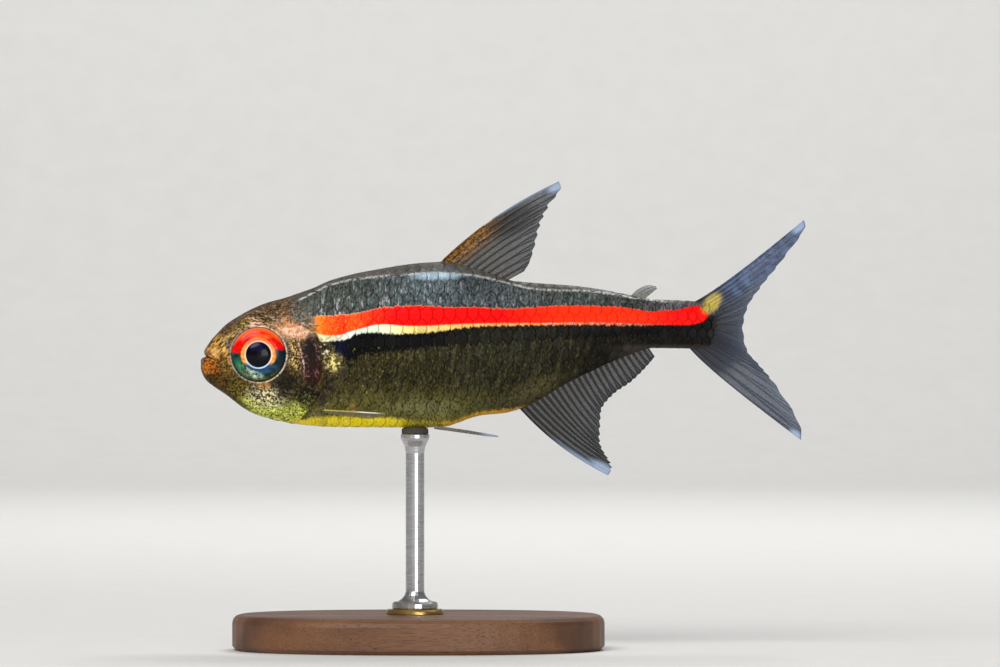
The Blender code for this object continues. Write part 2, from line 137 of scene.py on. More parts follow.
def path_distance(x, y, points):
    """Distance from (x, y) to a polyline, and the share of its length at the nearest place."""
    best = np.full(np.shape(x), 1e9)
    share = np.zeros(np.shape(x))
    lengths = [math.hypot(q[0] - p[0], q[1] - p[1]) for p, q in zip(points, points[1:])]
    total, run = sum(lengths), 0.0
    for (p, q), length in zip(zip(points, points[1:]), lengths):
        ax, ay = q[0] - p[0], q[1] - p[1]
        t = np.clip(((x - p[0]) * ax + (y - p[1]) * ay) / (length * length), 0, 1)
        d = np.hypot(x - p[0] - ax * t, y - p[1] - ay * t)
        closer = d < best
        best = np.where(closer, d, best)
        share = np.where(closer, (run + t * length) / total, share)
        run += length
    return best, share


def along(points, count=40):
    """A smooth polyline through a few points."""
    p = np.array(points, float)
    t = np.concatenate([[0], np.cumsum(np.hypot(*np.diff(p, axis=0).T))])
    q = np.linspace(0, t[-1], count)
    return list(zip(smooth(t, p[:, 0], q), smooth(t, p[:, 1], q)))


# Front line of the closed mouth seen from the side: height above the axis, s.
FRONT_LINE = np.array([(-1.90, 0.16), (-1.72, 0.09), (-1.42, 0.01), (-1.06, 0.0), (-0.90, 0.02), (-0.80, 0.09), (-0.73, 0.20),
                       (-0.69, 0.34), (-0.64, 0.34), (-0.58, 0.275), (-0.47, 0.235), (-0.30, 0.24), (-0.12, 0.30), (0.10, 0.42)])


# ------------------------------------------------------------------ lattice of the skin
FRONT = 57                       # rings over the first millimetre
RINGS, TURN = 896, 512
SKIN_END = 30.95


def lattice_s(i):
    i = np.asarray(i, float)
    step = (SKIN_END - 1.0) / (RINGS - FRONT)
    front = (np.minimum(i, FRONT) / FRONT) ** 2 * 0.97 + 0.03
    return np.where(i <= FRONT, front, 1.0 + (i - FRONT) * step)


def make_lattice():
    """Points of the bare body, evenly spread round each ring; the left side (-Y) is the second half."""
    s = lattice_s(np.arange(RINGS + 1))
    fine = np.linspace(0, math.pi, 721)
    half = TURN // 2
    pos = np.zeros((RINGS + 1, TURN + 1, 3))
    girth = np.zeros(RINGS + 1)
    for i, si in enumerate(s):
        y, up = body(np.full(721, min(si, 30.0)), fine, COAT)
        share = max(0.0, (si - 28.7) / (SKIN_END - 28.7))
        if share > 0:
            middle = 1.18
            up = middle + (up - middle) * (1 - 0.30 * share**4)
            y = y * (1 - share) ** (0.75 + 0.5 * share) + np.sign(y) * 0.012 * share
        arc = np.concatenate([[0], np.cumsum(np.hypot(np.diff(y), np.diff(up)))])
        girth[i] = arc[-1]
        want = np.linspace(0, arc[-1], half + 1)
        yy, uu = np.interp(want, arc, y), np.interp(want, arc, up)
        yy[0] = yy[-1] = 0.0
        pos[i, :half + 1] = np.stack([np.full(half + 1, si), yy, uu], 1)
        pos[i, half:] = np.stack([np.full(half + 1, si), -yy[::-1], uu[::-1]], 1)
    return s, pos, girth


LAT_S, LAT, GIRTH = make_lattice()


def lattice_normals(p):
    ds = np.gradient(p, axis=0)
    ring = p[:, :-1]
    dk = np.roll(ring, -1, 1) - np.roll(ring, 1, 1)
    dk = np.concatenate([dk, dk[:, :1]], 1)
    n = np.cross(ds, dk)
    n /= np.maximum(np.linalg.norm(n, axis=2, keepdims=True), 1e-12)
    return n


NORMAL = lattice_normals(LAT)

# ------------------------------------------------------------------ relief of the head, in drawing units
SLIT = along([(199.0, 356.4), (204.0, 356.5), (209.0, 357.4), (213.0, 358.8), (217.0, 360.8)])
MAXILLA = along([(208.5, 352.0), (213.0, 356.2), (217.5, 360.3), (221.0, 366.0), (222.5, 373.0)])
DENTARY = along([(218.5, 362.5), (224.0, 373.0), (233.0, 386.0), (246.0, 398.5), (262.0, 409.0)])
PREOPERCLE = along([(300.0, 333.0), (300.5, 345.0), (303.5, 360.0), (304.5, 374.0), (301.0, 388.0),
                    (292.0, 400.0), (277.0, 408.5), (258.0, 410.0), (240.0, 401.0)])
SUBOPERCLE = along([(305.0, 383.0), (312.0, 387.0), (321.0, 386.5)])
INFRAORBITAL = along([(285.0, 372.0), (281.0, 382.0), (270.0, 391.5), (255.0, 393.5), (241.0, 387.0), (232.0, 376.0)])
BRANCH_1 = along([(311.0, 411.5), (298.0, 416.0), (280.0, 418.5), (262.0, 417.0)])
BRANCH_2 = along([(303.0, 418.5), (290.0, 421.5), (274.0, 421.5)])
NOSTRILS = ((223.6, 337.2, 1.5), (228.4, 340.6, 1.7))


def relief(s, y, up):
    """Outward displacement of the skin in mm, and the wish for fine cells there (0 to 1)."""
    rows = int(np.searchsorted(LAT_S, 8.3))
    d = np.zeros(np.shape(s))
    fine = np.zeros(np.shape(s))
    d[:rows], fine[:rows] = head_relief(s[:rows], up[:rows])

    # Fleshy roots of the fins.
    top, low = station(1, s[:, :1]), station(2, s[:, :1])
    edge_near = bell(y, 0.16)
    d += 0.05 * edge_near * bell((up - top) / 0.3, 1) * ease(13.7, 14.4, s) * ease(18.5, 17.8, s)
    d += 0.05 * edge_near * bell((up - low) / 0.3, 1) * ease(18.3, 19.0, s) * ease(26.9, 26.0, s)
    q = np.hypot((s - 7.22) / 0.42, (up + 3.92) / 0.34)
    d += 0.20 * np.exp(-q**2.4)
    q = np.hypot((s - 14.2) / 0.5, (np.abs(y) - 0.62) / 0.30)
    d += 0.13 * np.exp(-q**2.4) * (up < 0)
    return d, fine


def head_relief(s, up):
    x, v = s / UNIT + 200.0, 345.0 - up / UNIT
    d = np.zeros(np.shape(s))
    fine = np.zeros(np.shape(s))

    # Mouth: a slit between rounded lips, then the fold of the upper jaw bone and the lower edge of the jaw.
    dist, share = path_distance(x, v, SLIT)
    lip = 1 - ease(0.75, 1.0, share)
    d += 0.050 * bell(dist - 2.3, 1.7) * (0.3 + 0.7 * lip) * ease(219, 212, x) * ease(199.5, 203.5, x)
    d -= (0.10 * bell(dist, 0.60) + 0.030 * bell(dist, 1.4)) * (0.35 + 0.65 * lip) * ease(201, 206, x)
    fine = np.maximum(fine, dist < 4.2)
    dist, share = path_distance(x, v, MAXILLA)
    d -= 0.050 * bell(dist, 0.75) * ease(1.02, 0.75, share)
    d += 0.028 * bell(dist - 2.2, 1.5) * ease(1.0, 0.6, share)
    fine = np.maximum(fine, dist < 2.6)
    dist, share = path_distance(x, v, DENTARY)
    d -= 0.030 * bell(dist, 1.2) * ease(1.0, 0.6, share)
    fine = np.maximum(fine, dist < 2.0)

    # Nostrils: two small pits with a raised rim between them.
    for nx, nv, r in NOSTRILS:
        q = np.hypot(x - nx, v - nv)
        d += 0.040 * bell(q - r - 0.6, 0.75) - 0.12 * ease(r, r * 0.45, q)
        fine = np.maximum(fine, q < 4.0)

    # Cheek: rear edge of the front cheek bones, the gill cover's bones.
    dist, share = path_distance(x, v, INFRAORBITAL)
    d -= 0.022 * bell(dist, 1.1)
    d += 0.012 * bell(dist - 2.2, 1.6)
    dist, share = path_distance(x, v, PREOPERCLE)
    fade = ease(0.0, 0.06, share) * ease(1.0, 0.85, share)
    d -= 0.055 * bell(dist, 1.15) * fade
    d += 0.030 * bell(dist - 2.6, 1.8) * fade
    fine = np.maximum(fine, dist < 2.2)
    dist, share = path_distance(x, v, SUBOPERCLE)
    d -= 0.026 * bell(dist, 0.9) * ease(0, 0.2, share)
    for line, depth in ((BRANCH_1, 0.040), (BRANCH_2, 0.035)):
        dist, share = path_distance(x, v, line)
        d -= depth * bell(dist, 0.9) * ease(1.0, 0.8, share)
        d += 0.015 * bell(dist - 2.0, 1.2) * ease(1.0, 0.8, share)
        fine = np.maximum(fine, dist < 1.5)

    # Gill cover: stands a little proud, ends in a thin edge with a dark gap behind it.
    edge = gill_edge(up)
    q = (s - edge) / UNIT
    open_ = ease(0.62, 0.25, up) * ease(-4.72, -4.1, up)
    d += 0.075 * ease(-9.0, -1.5, q) * ease(0.35, -0.1, q) * open_
    d -= 0.15 * ease(-0.1, 0.5, q) * ease(8.0, 1.6, q) * open_
    fine = np.maximum(fine, (np.abs(q - 0.3) < 2.2) & (open_ > 0.01))

    # A soft unevenness of the bones under the naked skin of the head.
    head = ease(8.0, 6.5, s)
    d += head * 0.010 * np.sin(s * 3.1 + up * 1.7) * np.sin(up * 3.7 - s * 1.3)
    return d, fine


def skin_points():
    s, y, up = LAT[..., 0], LAT[..., 1], LAT[..., 2]
    d, fine = relief(s, y, up)
    p = LAT + NORMAL * d[..., None]
    # Blunt lips: near its front line the skin turns, rounded, towards the middle.
    front = np.interp(p[..., 2], FRONT_LINE[:, 0], FRONT_LINE[:, 1], left=-1.0, right=-1.0)
    front = front + 0.035 * (np.abs(p[..., 1]) / 0.35) ** 2
    q = (p[..., 0] - front) / 0.035
    soft = np.where(q > 12, q, np.log1p(np.exp(np.minimum(q, 12)))) * 0.035
    p[..., 0] = np.where((s < 1.6) & (front > -0.9), front + soft, p[..., 0])
    # Orbit: the skin meets the eye in one plane with a thin raised rim, and drops under the ball.
    r = np.hypot(s - EYE_S, up - EYE_UP)
    side = np.sign(y)
    near = (np.abs(y) > 0.35) & (r < 3.2)
    w = np.where(near, ease(2.55, 1.62, r), 0.0)
    plane = EYE_PLANE + 0.10 + 0.045 * (s - EYE_S)
    rim = 0.034 * bell(r - 1.662, 0.036) - 0.030 * bell(r - 1.80, 0.09) + 0.020 * bell(r - 2.02, 0.16)
    ay = np.abs(p[..., 1])
    ay = ay * (1 - w) + (plane + rim) * w
    well = np.where(near, ease(1.625, 1.52, r), 0.0)
    ay = ay * (1 - well) + 0.75 * well
    p[..., 1] = np.where(near, side * ay, p[..., 1])
    fine = np.maximum(fine, near & (r > 1.42) & (r < 2.02))
    return p, fine


SKIN, FINE = skin_points()


def new_mesh(name, points, faces, smooth_shade=True):
    """A mesh piece from points in mm (s, y, up already placed) and a list of faces."""
    mesh = bpy.data.meshes.new(name)
    mesh.from_pydata((np.asarray(points) * MM).tolist(), [], faces)
    mesh.validate(clean_customdata=False)
    if smooth_shade:
        mesh.shade_smooth()
    obj = bpy.data.objects.new(name, mesh)
    bpy.context.scene.collection.objects.link(obj)
    return obj


def placed(p):
    p = np.asarray(p, float)
    return np.stack([p[..., 0] - LENGTH / 2, p[..., 1], p[..., 2] + AXIS], -1)


def make_skin():
    """Cells of 1, 2 or 4 lattice steps; each face takes in the corners of finer neighbours on its edges."""
    wish = np.full((RINGS, TURN), 4)
    s_mid = LAT_S[:-1][:, None] + np.zeros((1, TURN))
    up_mid = LAT[:-1, :-1, 2]
    wish[s_mid < gill_edge(up_mid) + 0.35] = 2
    wish[:40] = np.minimum(wish[:40], 2)
    wish[FINE[:-1, :-1] > 0.5] = 1
    wish[RINGS - 16:] = np.minimum(wish[RINGS - 16:], 2)
    used = np.zeros((RINGS + 1, TURN), bool)
    leaves = []

    def take(i, k, size):
        leaves.append((i, k, size))
        for a in (i, i + size):
            for b in (k, k + size):
                used[a, b % TURN] = True

    for i in range(0, RINGS, 4):
        for k in range(0, TURN, 4):
            block = wish[i:i + 4, k:k + 4]
            if block.min() == 4:
                take(i, k, 4)
                continue
            for a in (0, 2):
                for b in (0, 2):
                    part = block[a:a + 2, b:b + 2]
                    if part.min() > 1:
                        take(i + a, k + b, 2)
                    else:
                        for c in (0, 1):
                            for e in (0, 1):
                                take(i + a + c, k + b + e, 1)
    index = -np.ones((RINGS + 1, TURN), int)
    index[used] = np.arange(used.sum())
    points = placed(SKIN[:, :-1][used])
    faces, uvs = [], []
    for i, k, size in leaves:
        walk = [(i, k + t) for t in range(size)] + [(i + t, k + size) for t in range(size)]
        walk += [(i + size, k + size - t) for t in range(size)] + [(i + size - t, k) for t in range(size)]
        walk = [w for w in walk if used[w[0], w[1] % TURN]]
        faces.append([int(index[a, b % TURN]) for a, b in walk])
        uvs.extend((0.01 + 0.98 * LAT_S[a] / SKIN_END, 0.01 + 0.98 * b / TURN) for a, b in walk)
    points = points.tolist()
    for ring, flip in ((0, True), (RINGS, False)):
        centre = np.mean([points[index[ring, k]] for k in range(TURN) if used[ring, k]], axis=0)
        points.append(centre.tolist())
        ks = [k for k in range(TURN) if used[ring, k]]
        for a, b in zip(ks, ks[1:] + [ks[0] + TURN]):
            face = [int(index[ring, a]), int(index[ring, b % TURN]), len(points) - 1]
            faces.append(face[::-1] if not flip else face)
            uv = [(0.01 + 0.98 * LAT_S[ring] / SKIN_END, 0.01 + 0.98 * q / TURN) for q in (a, b, (a + b) / 2)]
            uvs.extend(uv[::-1] if not flip else uv)
    faces = [f[::-1] for f in faces]
    flat, n = [], 0
    for f in faces:
        flat.extend(uvs[n:n + len(f)][::-1])
        n += len(f)
    mesh = bpy.data.meshes.new("skin")
    mesh.from_pydata((np.array(points) * MM).tolist(), [], faces)
    layer = mesh.uv_layers.new(name="OFBake")
    layer.data.foreach_set("uv", np.array(flat, np.float32).ravel())
    mesh.shade_smooth()
    obj = bpy.data.objects.new("skin", mesh)
    bpy.context.scene.collection.objects.link(obj)
    return obj


# ------------------------------------------------------------------ node trees
def rgb(r, g, b):
    """A linear colour from display values of 0 to 255."""
    def one(c):
        c /= 255.0
        return c / 12.92 if c <= 0.04045 else ((c + 0.055) / 1.055) ** 2.4
    return (one(r), one(g), one(b), 1.0)


class Val:
    """A value inside a node tree, with ordinary arithmetic."""

    def __init__(self, tree, socket):
        self.tree, self.socket = tree, socket

    def op(self, kind, other=None, third=None, swap=False):
        a, b = (other, self) if swap else (self, other)
        return self.tree.math(kind, a, b, third)

    def __add__(self, o):
        return self.op("ADD", o)

    __radd__ = __add__

    def __sub__(self, o):
        return self.op("SUBTRACT", o)

    def __rsub__(self, o):
        return self.op("SUBTRACT", o, swap=True)

    def __mul__(self, o):
        return self.op("MULTIPLY", o)

    __rmul__ = __mul__

    def __truediv__(self, o):
        return self.op("DIVIDE", o)

    def abs(self):
        return self.op("ABSOLUTE")

    def min(self, o):
        return self.op("MINIMUM", o)

    def max(self, o):
        return self.op("MAXIMUM", o)

    def power(self, o):
        return self.op("POWER", o)

    def sin(self):
        return self.op("SINE")


class Tree:
    def __init__(self, name):
        self.material = bpy.data.materials.new(name)
        self.material.use_nodes = True
        self.tree = self.material.node_tree
        self.tree.nodes.clear()

    def node(self, kind, inputs=(), **settings):
        n = self.tree.nodes.new(kind)
        for key, value in settings.items():
            setattr(n, key, value)
        for key, value in dict(inputs).items():
            self.put(n.inputs[key], value)
        return n

    def put(self, socket, value):
        if isinstance(value, Val):
            self.tree.links.new(value.socket, socket)
        elif value is not None:
            socket.default_value = value

    def math(self, kind, a, b=None, c=None):
        n = self.tree.nodes.new("ShaderNodeMath")
        n.operation = kind
        for socket, value in zip(n.inputs, (a, b, c)):
            self.put(socket, value)
        return Val(self, n.outputs[0])

    def step(self, a, b, x):
        n = self.node("ShaderNodeMapRange", {"Value": x, "From Min": a, "From Max": b}, interpolation_type="SMOOTHSTEP")
        return Val(self, n.outputs["Result"])

    def line(self, a, b, x, lo=0.0, hi=1.0):
        n = self.node("ShaderNodeMapRange", {"Value": x, "From Min": a, "From Max": b, "To Min": lo, "To Max": hi})
        return Val(self, n.outputs["Result"])

    def mix(self, a, b, t):
        """Colour a where t is 0, b where it is 1."""
        n = self.tree.nodes.new("ShaderNodeMix")
        n.data_type = "RGBA"
        self.put(n.inputs[0], t)
        self.put(n.inputs[6], a)
        self.put(n.inputs[7], b)
        return Val(self, n.outputs[2])

    def times(self, a, b, t=1.0):
        n = self.tree.nodes.new("ShaderNodeMix")
        n.data_type, n.blend_type = "RGBA", "MULTIPLY"
        self.put(n.inputs[0], t)
        self.put(n.inputs[6], a)
        self.put(n.inputs[7], b)
        return Val(self, n.outputs[2])

    def grey(self, v):
        n = self.node("ShaderNodeCombineColor", {0: v, 1: v, 2: v})
        return Val(self, n.outputs[0])

    def combine(self, x, y, z):
        return Val(self, self.node("ShaderNodeCombineXYZ", {0: x, 1: y, 2: z}).outputs[0])

    def noise(self, vector, scale=1.0, detail=2.0, rough=0.5, warp=0.0):
        n = self.node("ShaderNodeTexNoise",
                      {"Vector": vector, "Scale": scale, "Detail": detail, "Roughness": rough, "Distortion": warp})
        return Val(self, n.outputs[0])

    def noise3(self, vector, scale=1.0, detail=2.0, rough=0.5):
        n = self.node("ShaderNodeTexNoise", {"Vector": vector, "Scale": scale, "Detail": detail, "Roughness": rough})
        s = self.node("ShaderNodeSeparateColor")
        self.tree.links.new(n.outputs["Color"], s.inputs[0])
        return [Val(self, s.outputs[i]) for i in range(3)]

    def cells(self, vector, scale=1.0, feature="F1", chance=1.0):
        n = self.node("ShaderNodeTexVoronoi", {"Vector": vector, "Scale": scale, "Randomness": chance}, feature=feature)
        return Val(self, n.outputs["Distance"])

    def attribute(self, name):
        n = self.node("ShaderNodeAttribute", attribute_name=name)
        return Val(self, n.outputs["Fac"])

    def curve(self, x, points, y0=0.0, y1=1.0):
        """Smooth function of x through the points."""
        x0, x1 = points[0][0], points[-1][0]
        n = self.node("ShaderNodeFloatCurve", {"Value": self.line(x0, x1, x)})
        c = n.mapping.curves[0]
        n.mapping.extend = "HORIZONTAL"
        at = [((px - x0) / (x1 - x0), (py - y0) / (y1 - y0)) for px, py in points]
        c.points[0].location, c.points[-1].location = at[0], at[-1]
        for p in at[1:-1]:
            c.points.new(*p)
        for p in c.points:
            p.handle_type = "AUTO_CLAMPED"
        n.mapping.update()
        return Val(self, n.outputs[0]) * (y1 - y0) + y0

    def ramp(self, x, stops, ease_="LINEAR"):
        """Colour along x from (x, colour) stops."""
        x0, x1 = stops[0][0], stops[-1][0]
        n = self.node("ShaderNodeValToRGB", {"Fac": self.line(x0, x1, x)})
        n.color_ramp.interpolation = ease_
        e = n.color_ramp.elements
        e[0].position, e[0].color = 0.0, stops[0][1]
        e[1].position, e[1].color = 1.0, stops[-1][1]
        for px, colour in stops[1:-1]:
            e.new((px - x0) / (x1 - x0)).color = colour
        return Val(self, n.outputs["Color"])

    def drawing(self):
        """x and y in drawing units, the third axis in the same units, and all three as a vector."""
        if not hasattr(self, "_drawing"):
            co = self.node("ShaderNodeTexCoord").outputs["Object"]
            n = self.node("ShaderNodeSeparateXYZ")
            self.tree.links.new(co, n.inputs[0])
            k = 1000.0 / UNIT
            x = Val(self, n.outputs[0]) * k + (LENGTH / 2 / UNIT + 200.0)
            y = Val(self, n.outputs[2]) * (-k) + (345.0 + AXIS / UNIT)
            w = Val(self, n.outputs[1]) * k
            self._drawing = x, y, w, self.combine(x, y, w)
        return self._drawing

    def blob(self, x, y, cx, cy, rx, ry, turn=0.0, soft=0.35):
        """1 inside an ellipse, 0 outside, softened over the given share of its size."""
        c, k = math.cos(math.radians(turn)), math.sin(math.radians(turn))
        dx, dy = x - cx, y - cy
        a = (dx * c + dy * k) * (1.0 / rx)
        b = (dy * c - dx * k) * (1.0 / ry)
        q = (a * a + b * b).power(0.5)
        return self.step(1.0 + soft, 1.0 - soft, q)

    def bell(self, d, width):
        """1 where d is 0, falling to 0 at twice the width."""
        return self.step(width * 2.0, 0.0, d.abs())

    def principled(self, **inputs):
        n = self.node("ShaderNodeBsdfPrincipled")
        for key, value in inputs.items():
            self.put(n.inputs[key.replace("_", " ").title()
                              .replace("Ior", "IOR")], value)
        return n

    def bump(self, height, strength, distance):
        n = self.node("ShaderNodeBump", {"Height": height, "Strength": strength, "Distance": distance})
        return Val(self, n.outputs[0])

    def finish(self, shader):
        out = self.node("ShaderNodeOutputMaterial")
        self.tree.links.new(shader.outputs[0], out.inputs["Surface"])
        return self.material


# ------------------------------------------------------------------ markings shared by skin, scales and fin roots
RED_TOP = ((313, 316.5), (333, 315.7), (350, 314.0), (366, 311.5), (383, 307.8), (400, 306.5), (422, 305.9), (449, 307.6),
           (474, 307.4), (507, 309), (536, 307.3), (564, 305.9), (606, 306.3), (627, 307.7), (655, 311.2), (676, 310.2),
           (694, 306.5), (703, 308.5), (709, 315.0))
RED_LOW = ((313, 332.0), (333, 335.6), (350, 332), (366, 327.6), (383, 324.6), (416, 326.2), (449, 324.8), (482, 323.6),
           (550, 323.2), (592, 322.5), (620, 323.2), (655, 324.6), (683, 325.2), (699, 323.0), (705, 320.0), (709, 315.5))
CREAM_LOW = ((316, 339.5), (323, 341.4), (341, 340.5), (358, 334.2), (375, 332.4), (399, 334), (433, 332), (449, 330),
             (466, 327.5), (499, 325.8), (560, 325.0), (640, 325.4), (660, 324.5), (705, 318.0))
BLACK_LOW = ((318, 341.0), (327, 342.5), (334, 347.5), (341, 357.0), (349, 361.0), (357, 359.5), (363, 355.8), (383, 353),
             (400, 351.2), (416, 348.6), (449, 346), (500, 344), (560, 340), (640, 336))
BACK_LINE = ((286, 309.0), (294, 303), (307, 296.2), (318, 290.8), (330, 285), (350, 280.2), (375, 277), (405, 274.8),
             (435, 272.6), (470, 275.2), (500, 281.2), (521, 286.4), (533, 288.8), (556, 290.2), (582, 290.6), (600, 292.3),
             (640, 298.6), (690, 304.0))
BELLY_LINE = ((280, 421), (297, 419.5), (330, 415.5), (380, 416.5), (420, 419.5), (440, 421.0), (466, 415.5), (482, 411),
              (511, 408), (530, 404), (560, 396))


def markings(t, tint=None):
    """Colour of the fish anywhere on its surface."""
    x, y, w, p = t.drawing()
    fine = t.noise(p, 0.62, 2.0)
    mid = t.noise(p, 0.17, 2.0)
    big = t.noise(p, 0.045, 2.0)
    streak = t.noise(t.combine(x * 0.42, y * 0.085, w * 0.05), 1.0, 2.0)
    streak2 = t.noise(t.combine(x * 0.20 + y * 0.035, y * 0.030, w * 0.04 + 7.0), 1.0, 2.0)
    jag = (streak - 0.5) * 5.0 + (fine - 0.5) * 2.6
    ye = y + jag

    red_top, red_low = t.curve(x, RED_TOP, 300, 340), t.curve(x, RED_LOW, 300, 340)
    cream_low, black_low = t.curve(x, CREAM_LOW, 310, 345), t.curve(x, BLACK_LOW, 330, 365)
    back_line, belly_line = t.curve(x, BACK_LINE, 265, 315), t.curve(x, BELLY_LINE, 380, 425)

    # Back: grey with painted silver-blue glints, a painted white-blue highlight under the dorsal fin, a broken painted
    # highlight line near its edge, a translucent brownish rim above.
    speck = t.noise(t.combine(x * 0.62, y * 0.30, w * 0.3), 1.0, 3.0, 0.65)
    back = t.ramp(x, [(290, rgb(84, 86, 76)), (350, rgb(76, 82, 74)), (430, rgb(88, 100, 106)), (480, rgb(82, 90, 94)),
                      (560, rgb(76, 82, 79)), (640, rgb(72, 72, 70)), (705, rgb(92, 86, 94))])
    dark = t.step(0.40, 0.62, streak2) * 0.55
    back = t.mix(back, rgb(40, 46, 42), dark)
    back = t.mix(back, rgb(22, 24, 22), t.step(0.52, 0.40, speck) * 0.8)
    back = t.mix(back, rgb(142, 152, 150), t.step(0.58, 0.70, speck) * 0.40)
    # Painted highlights: silver-blue glints in vertical streaks over the back.
    glint = t.step(0.54, 0.72, streak + (mid - 0.5) * 0.5)
    back = t.mix(back, t.ramp(mid, [(0.35, rgb(150, 166, 172)), (0.5, rgb(124, 150, 148)), (0.62, rgb(158, 148, 162))]),
                 glint * 0.45)
    # Painted highlight: a bright white-blue patch under the front of the dorsal fin.
    dorsal_highlight = t.blob(x, y, 440, 273, 24, 6, -3, 0.6)
    back = t.mix(back, t.mix(rgb(178, 206, 228), rgb(226, 238, 246), t.step(0.50, 0.66, speck)), dorsal_highlight * 0.72)
    # Painted highlight: a broken bright line along the back, just inside its edge.
    back_highlight_line = t.bell(y - back_line + (fine - 0.5) * 2.0, 0.95) * t.step(0.36, 0.58, t.noise(p, 0.30, 2.0)) \
        * t.step(286, 300, x) * t.step(690, 640, x)
    rim = t.step(1.5, -1.5, y - back_line)
    back = t.mix(back, t.mix(rgb(98, 92, 84), rgb(66, 62, 56), mid), rim * 0.85)
    back = t.mix(back, rgb(208, 212, 208), back_highlight_line * t.line(0.3, 0.7, big, 0.55, 0.95))

    # Flank below the stripes: olive, darker and greyer behind, lighter near the belly and over the anal fin.
    olive = t.ramp(x, [(318, rgb(72, 62, 38)), (350, rgb(56, 49, 25)), (420, rgb(48, 43, 21)), (480, rgb(45, 43, 26)),
                       (560, rgb(33, 31, 21)), (600, rgb(20, 18, 13)), (640, rgb(17, 14, 11)), (705, rgb(28, 22, 20))])
    olive = t.mix(olive, rgb(96, 92, 58), t.step(0.50, 0.72, streak2) * t.line(560, 610, x, 0.42, 0.10))
    olive = t.mix(olive, rgb(22, 20, 11), t.step(0.55, 0.32, streak) * 0.5)
    low = t.step(380, 412, ye - (streak2 - 0.5) * 24.0) * t.step(520, 440, x)
    olive = t.mix(olive, t.mix(rgb(132, 120, 54), rgb(98, 104, 62), mid), low * 0.75)
    over_anal = t.blob(x, y, 530, 392, 38, 11, -24, 0.6)
    olive = t.mix(olive, rgb(92, 85, 54), over_anal * 0.6)
    haze = t.blob(x, y, 425, 407, 30, 6, 0, 0.8)
    olive = t.mix(olive, rgb(132, 138, 112), haze * t.step(0.40, 0.62, speck) * 0.4)

    olive = t.mix(olive, rgb(10, 9, 5), t.step(0.50, 0.38, speck) * 0.75)
    olive = t.mix(olive, rgb(124, 116, 64), t.step(0.56, 0.68, speck) * t.line(450, 610, x, 0.42, 0.14).max(over_anal * 0.36))
    yellow = t.step(-1.5, 3.0, ye - belly_line)
    yellow_colour = t.ramp(x, [(290, rgb(246, 224, 60)), (360, rgb(255, 234, 30)), (420, rgb(250, 226, 40)),
                               (450, rgb(246, 190, 34)), (500, rgb(220, 160, 40)), (540, rgb(120, 96, 46))])
    yellow_colour = t.mix(yellow_colour, rgb(255, 246, 150), t.step(0.55, 0.70, mid) * 0.5)
    yellow_colour = t.mix(yellow_colour, rgb(166, 128, 24), t.step(0.50, 0.36, speck) * 0.6)
    gap = t.curve(x, ((380, 1.0), (400, 0.90), (414, 0.34), (434, 0.30), (448, 0.80), (500, 0.92), (540, 0.6)), 0, 1)
    gap = gap + (t.step(0.46, 0.60, speck) - 0.5) * 0.4 * (1.0 - gap)
    body_colour = t.mix(olive, yellow_colour, yellow * t.step(560, 520, x) * gap.max(0.0) * 0.95)

    # Black band, cream line and red stripe over them.
    black = t.mix(rgb(3, 3, 5), rgb(8, 11, 40), t.blob(x, y, 337, 346, 12, 8, 30, 0.5) * 0.8)
    band = t.step(2.6, -2.6, ye - black_low + (speck - 0.5) * 14.0) * t.step(322, 330, x + (fine - 0.5) * 4.0)
    fade = t.curve(x, ((320, 1.0), (430, 0.97), (470, 0.72), (520, 0.55), (600, 0.62), (660, 0.85), (709, 0.9)), 0, 1)
    body_colour = t.mix(body_colour, black, band * fade)
    line_ = t.step(1.1, -1.1, ye - cream_low)
    cream = t.ramp(x, [(314, rgb(238, 214, 140)), (332, rgb(240, 232, 186)), (350, rgb(238, 240, 232)),
                       (380, rgb(228, 238, 206)), (410, rgb(240, 216, 116)), (460, rgb(238, 186, 88)),
                       (520, rgb(236, 146, 70)), (600, rgb(220, 106, 58)), (660, rgb(140, 76, 58))])
    cream = t.mix(cream, rgb(252, 252, 244), t.step(0.5, 0.7, fine) * 0.5)
    body_colour = t.mix(body_colour, cream, line_ * t.step(700, 660, x))
    body_colour = t.mix(body_colour, rgb(150, 118, 96), t.step(320, 315, x + (mid - 0.5) * 8.0) * t.step(342, 338, y))
    red = t.ramp(x, [(313, rgb(250, 150, 26)), (326, rgb(246, 92, 10)), (345, rgb(240, 44, 8)), (352, rgb(246, 84, 12)),
                     (372, rgb(242, 34, 6)), (392, rgb(236, 4, 3)), (500, rgb(236, 2, 2)), (560, rgb(246, 44, 4)),
                     (640, rgb(245, 44, 5)), (675, rgb(236, 8, 4)), (709, rgb(240, 8, 4))])
    red = t.mix(red, t.mix(red, rgb(255, 150, 40), 0.6), t.step(0.52, 0.64, speck) * t.step(400, 330, x))
    red = t.mix(red, t.mix(red, rgb(196, 3, 4), 0.6), t.step(0.48, 0.36, speck) * 0.5)
    in_red = t.step(-0.9, 0.9, ye - red_top) * t.step(0.9, -0.9, y - red_low + (fine - 0.5) * 1.4)
    above = t.step(-0.9, 0.9, ye - red_top)
    trunk = t.mix(back, body_colour, above)
    trunk = t.mix(trunk, red, in_red * t.step(312, 317, x + (mid - 0.5) * 6.0) * t.step(710, 706, x))
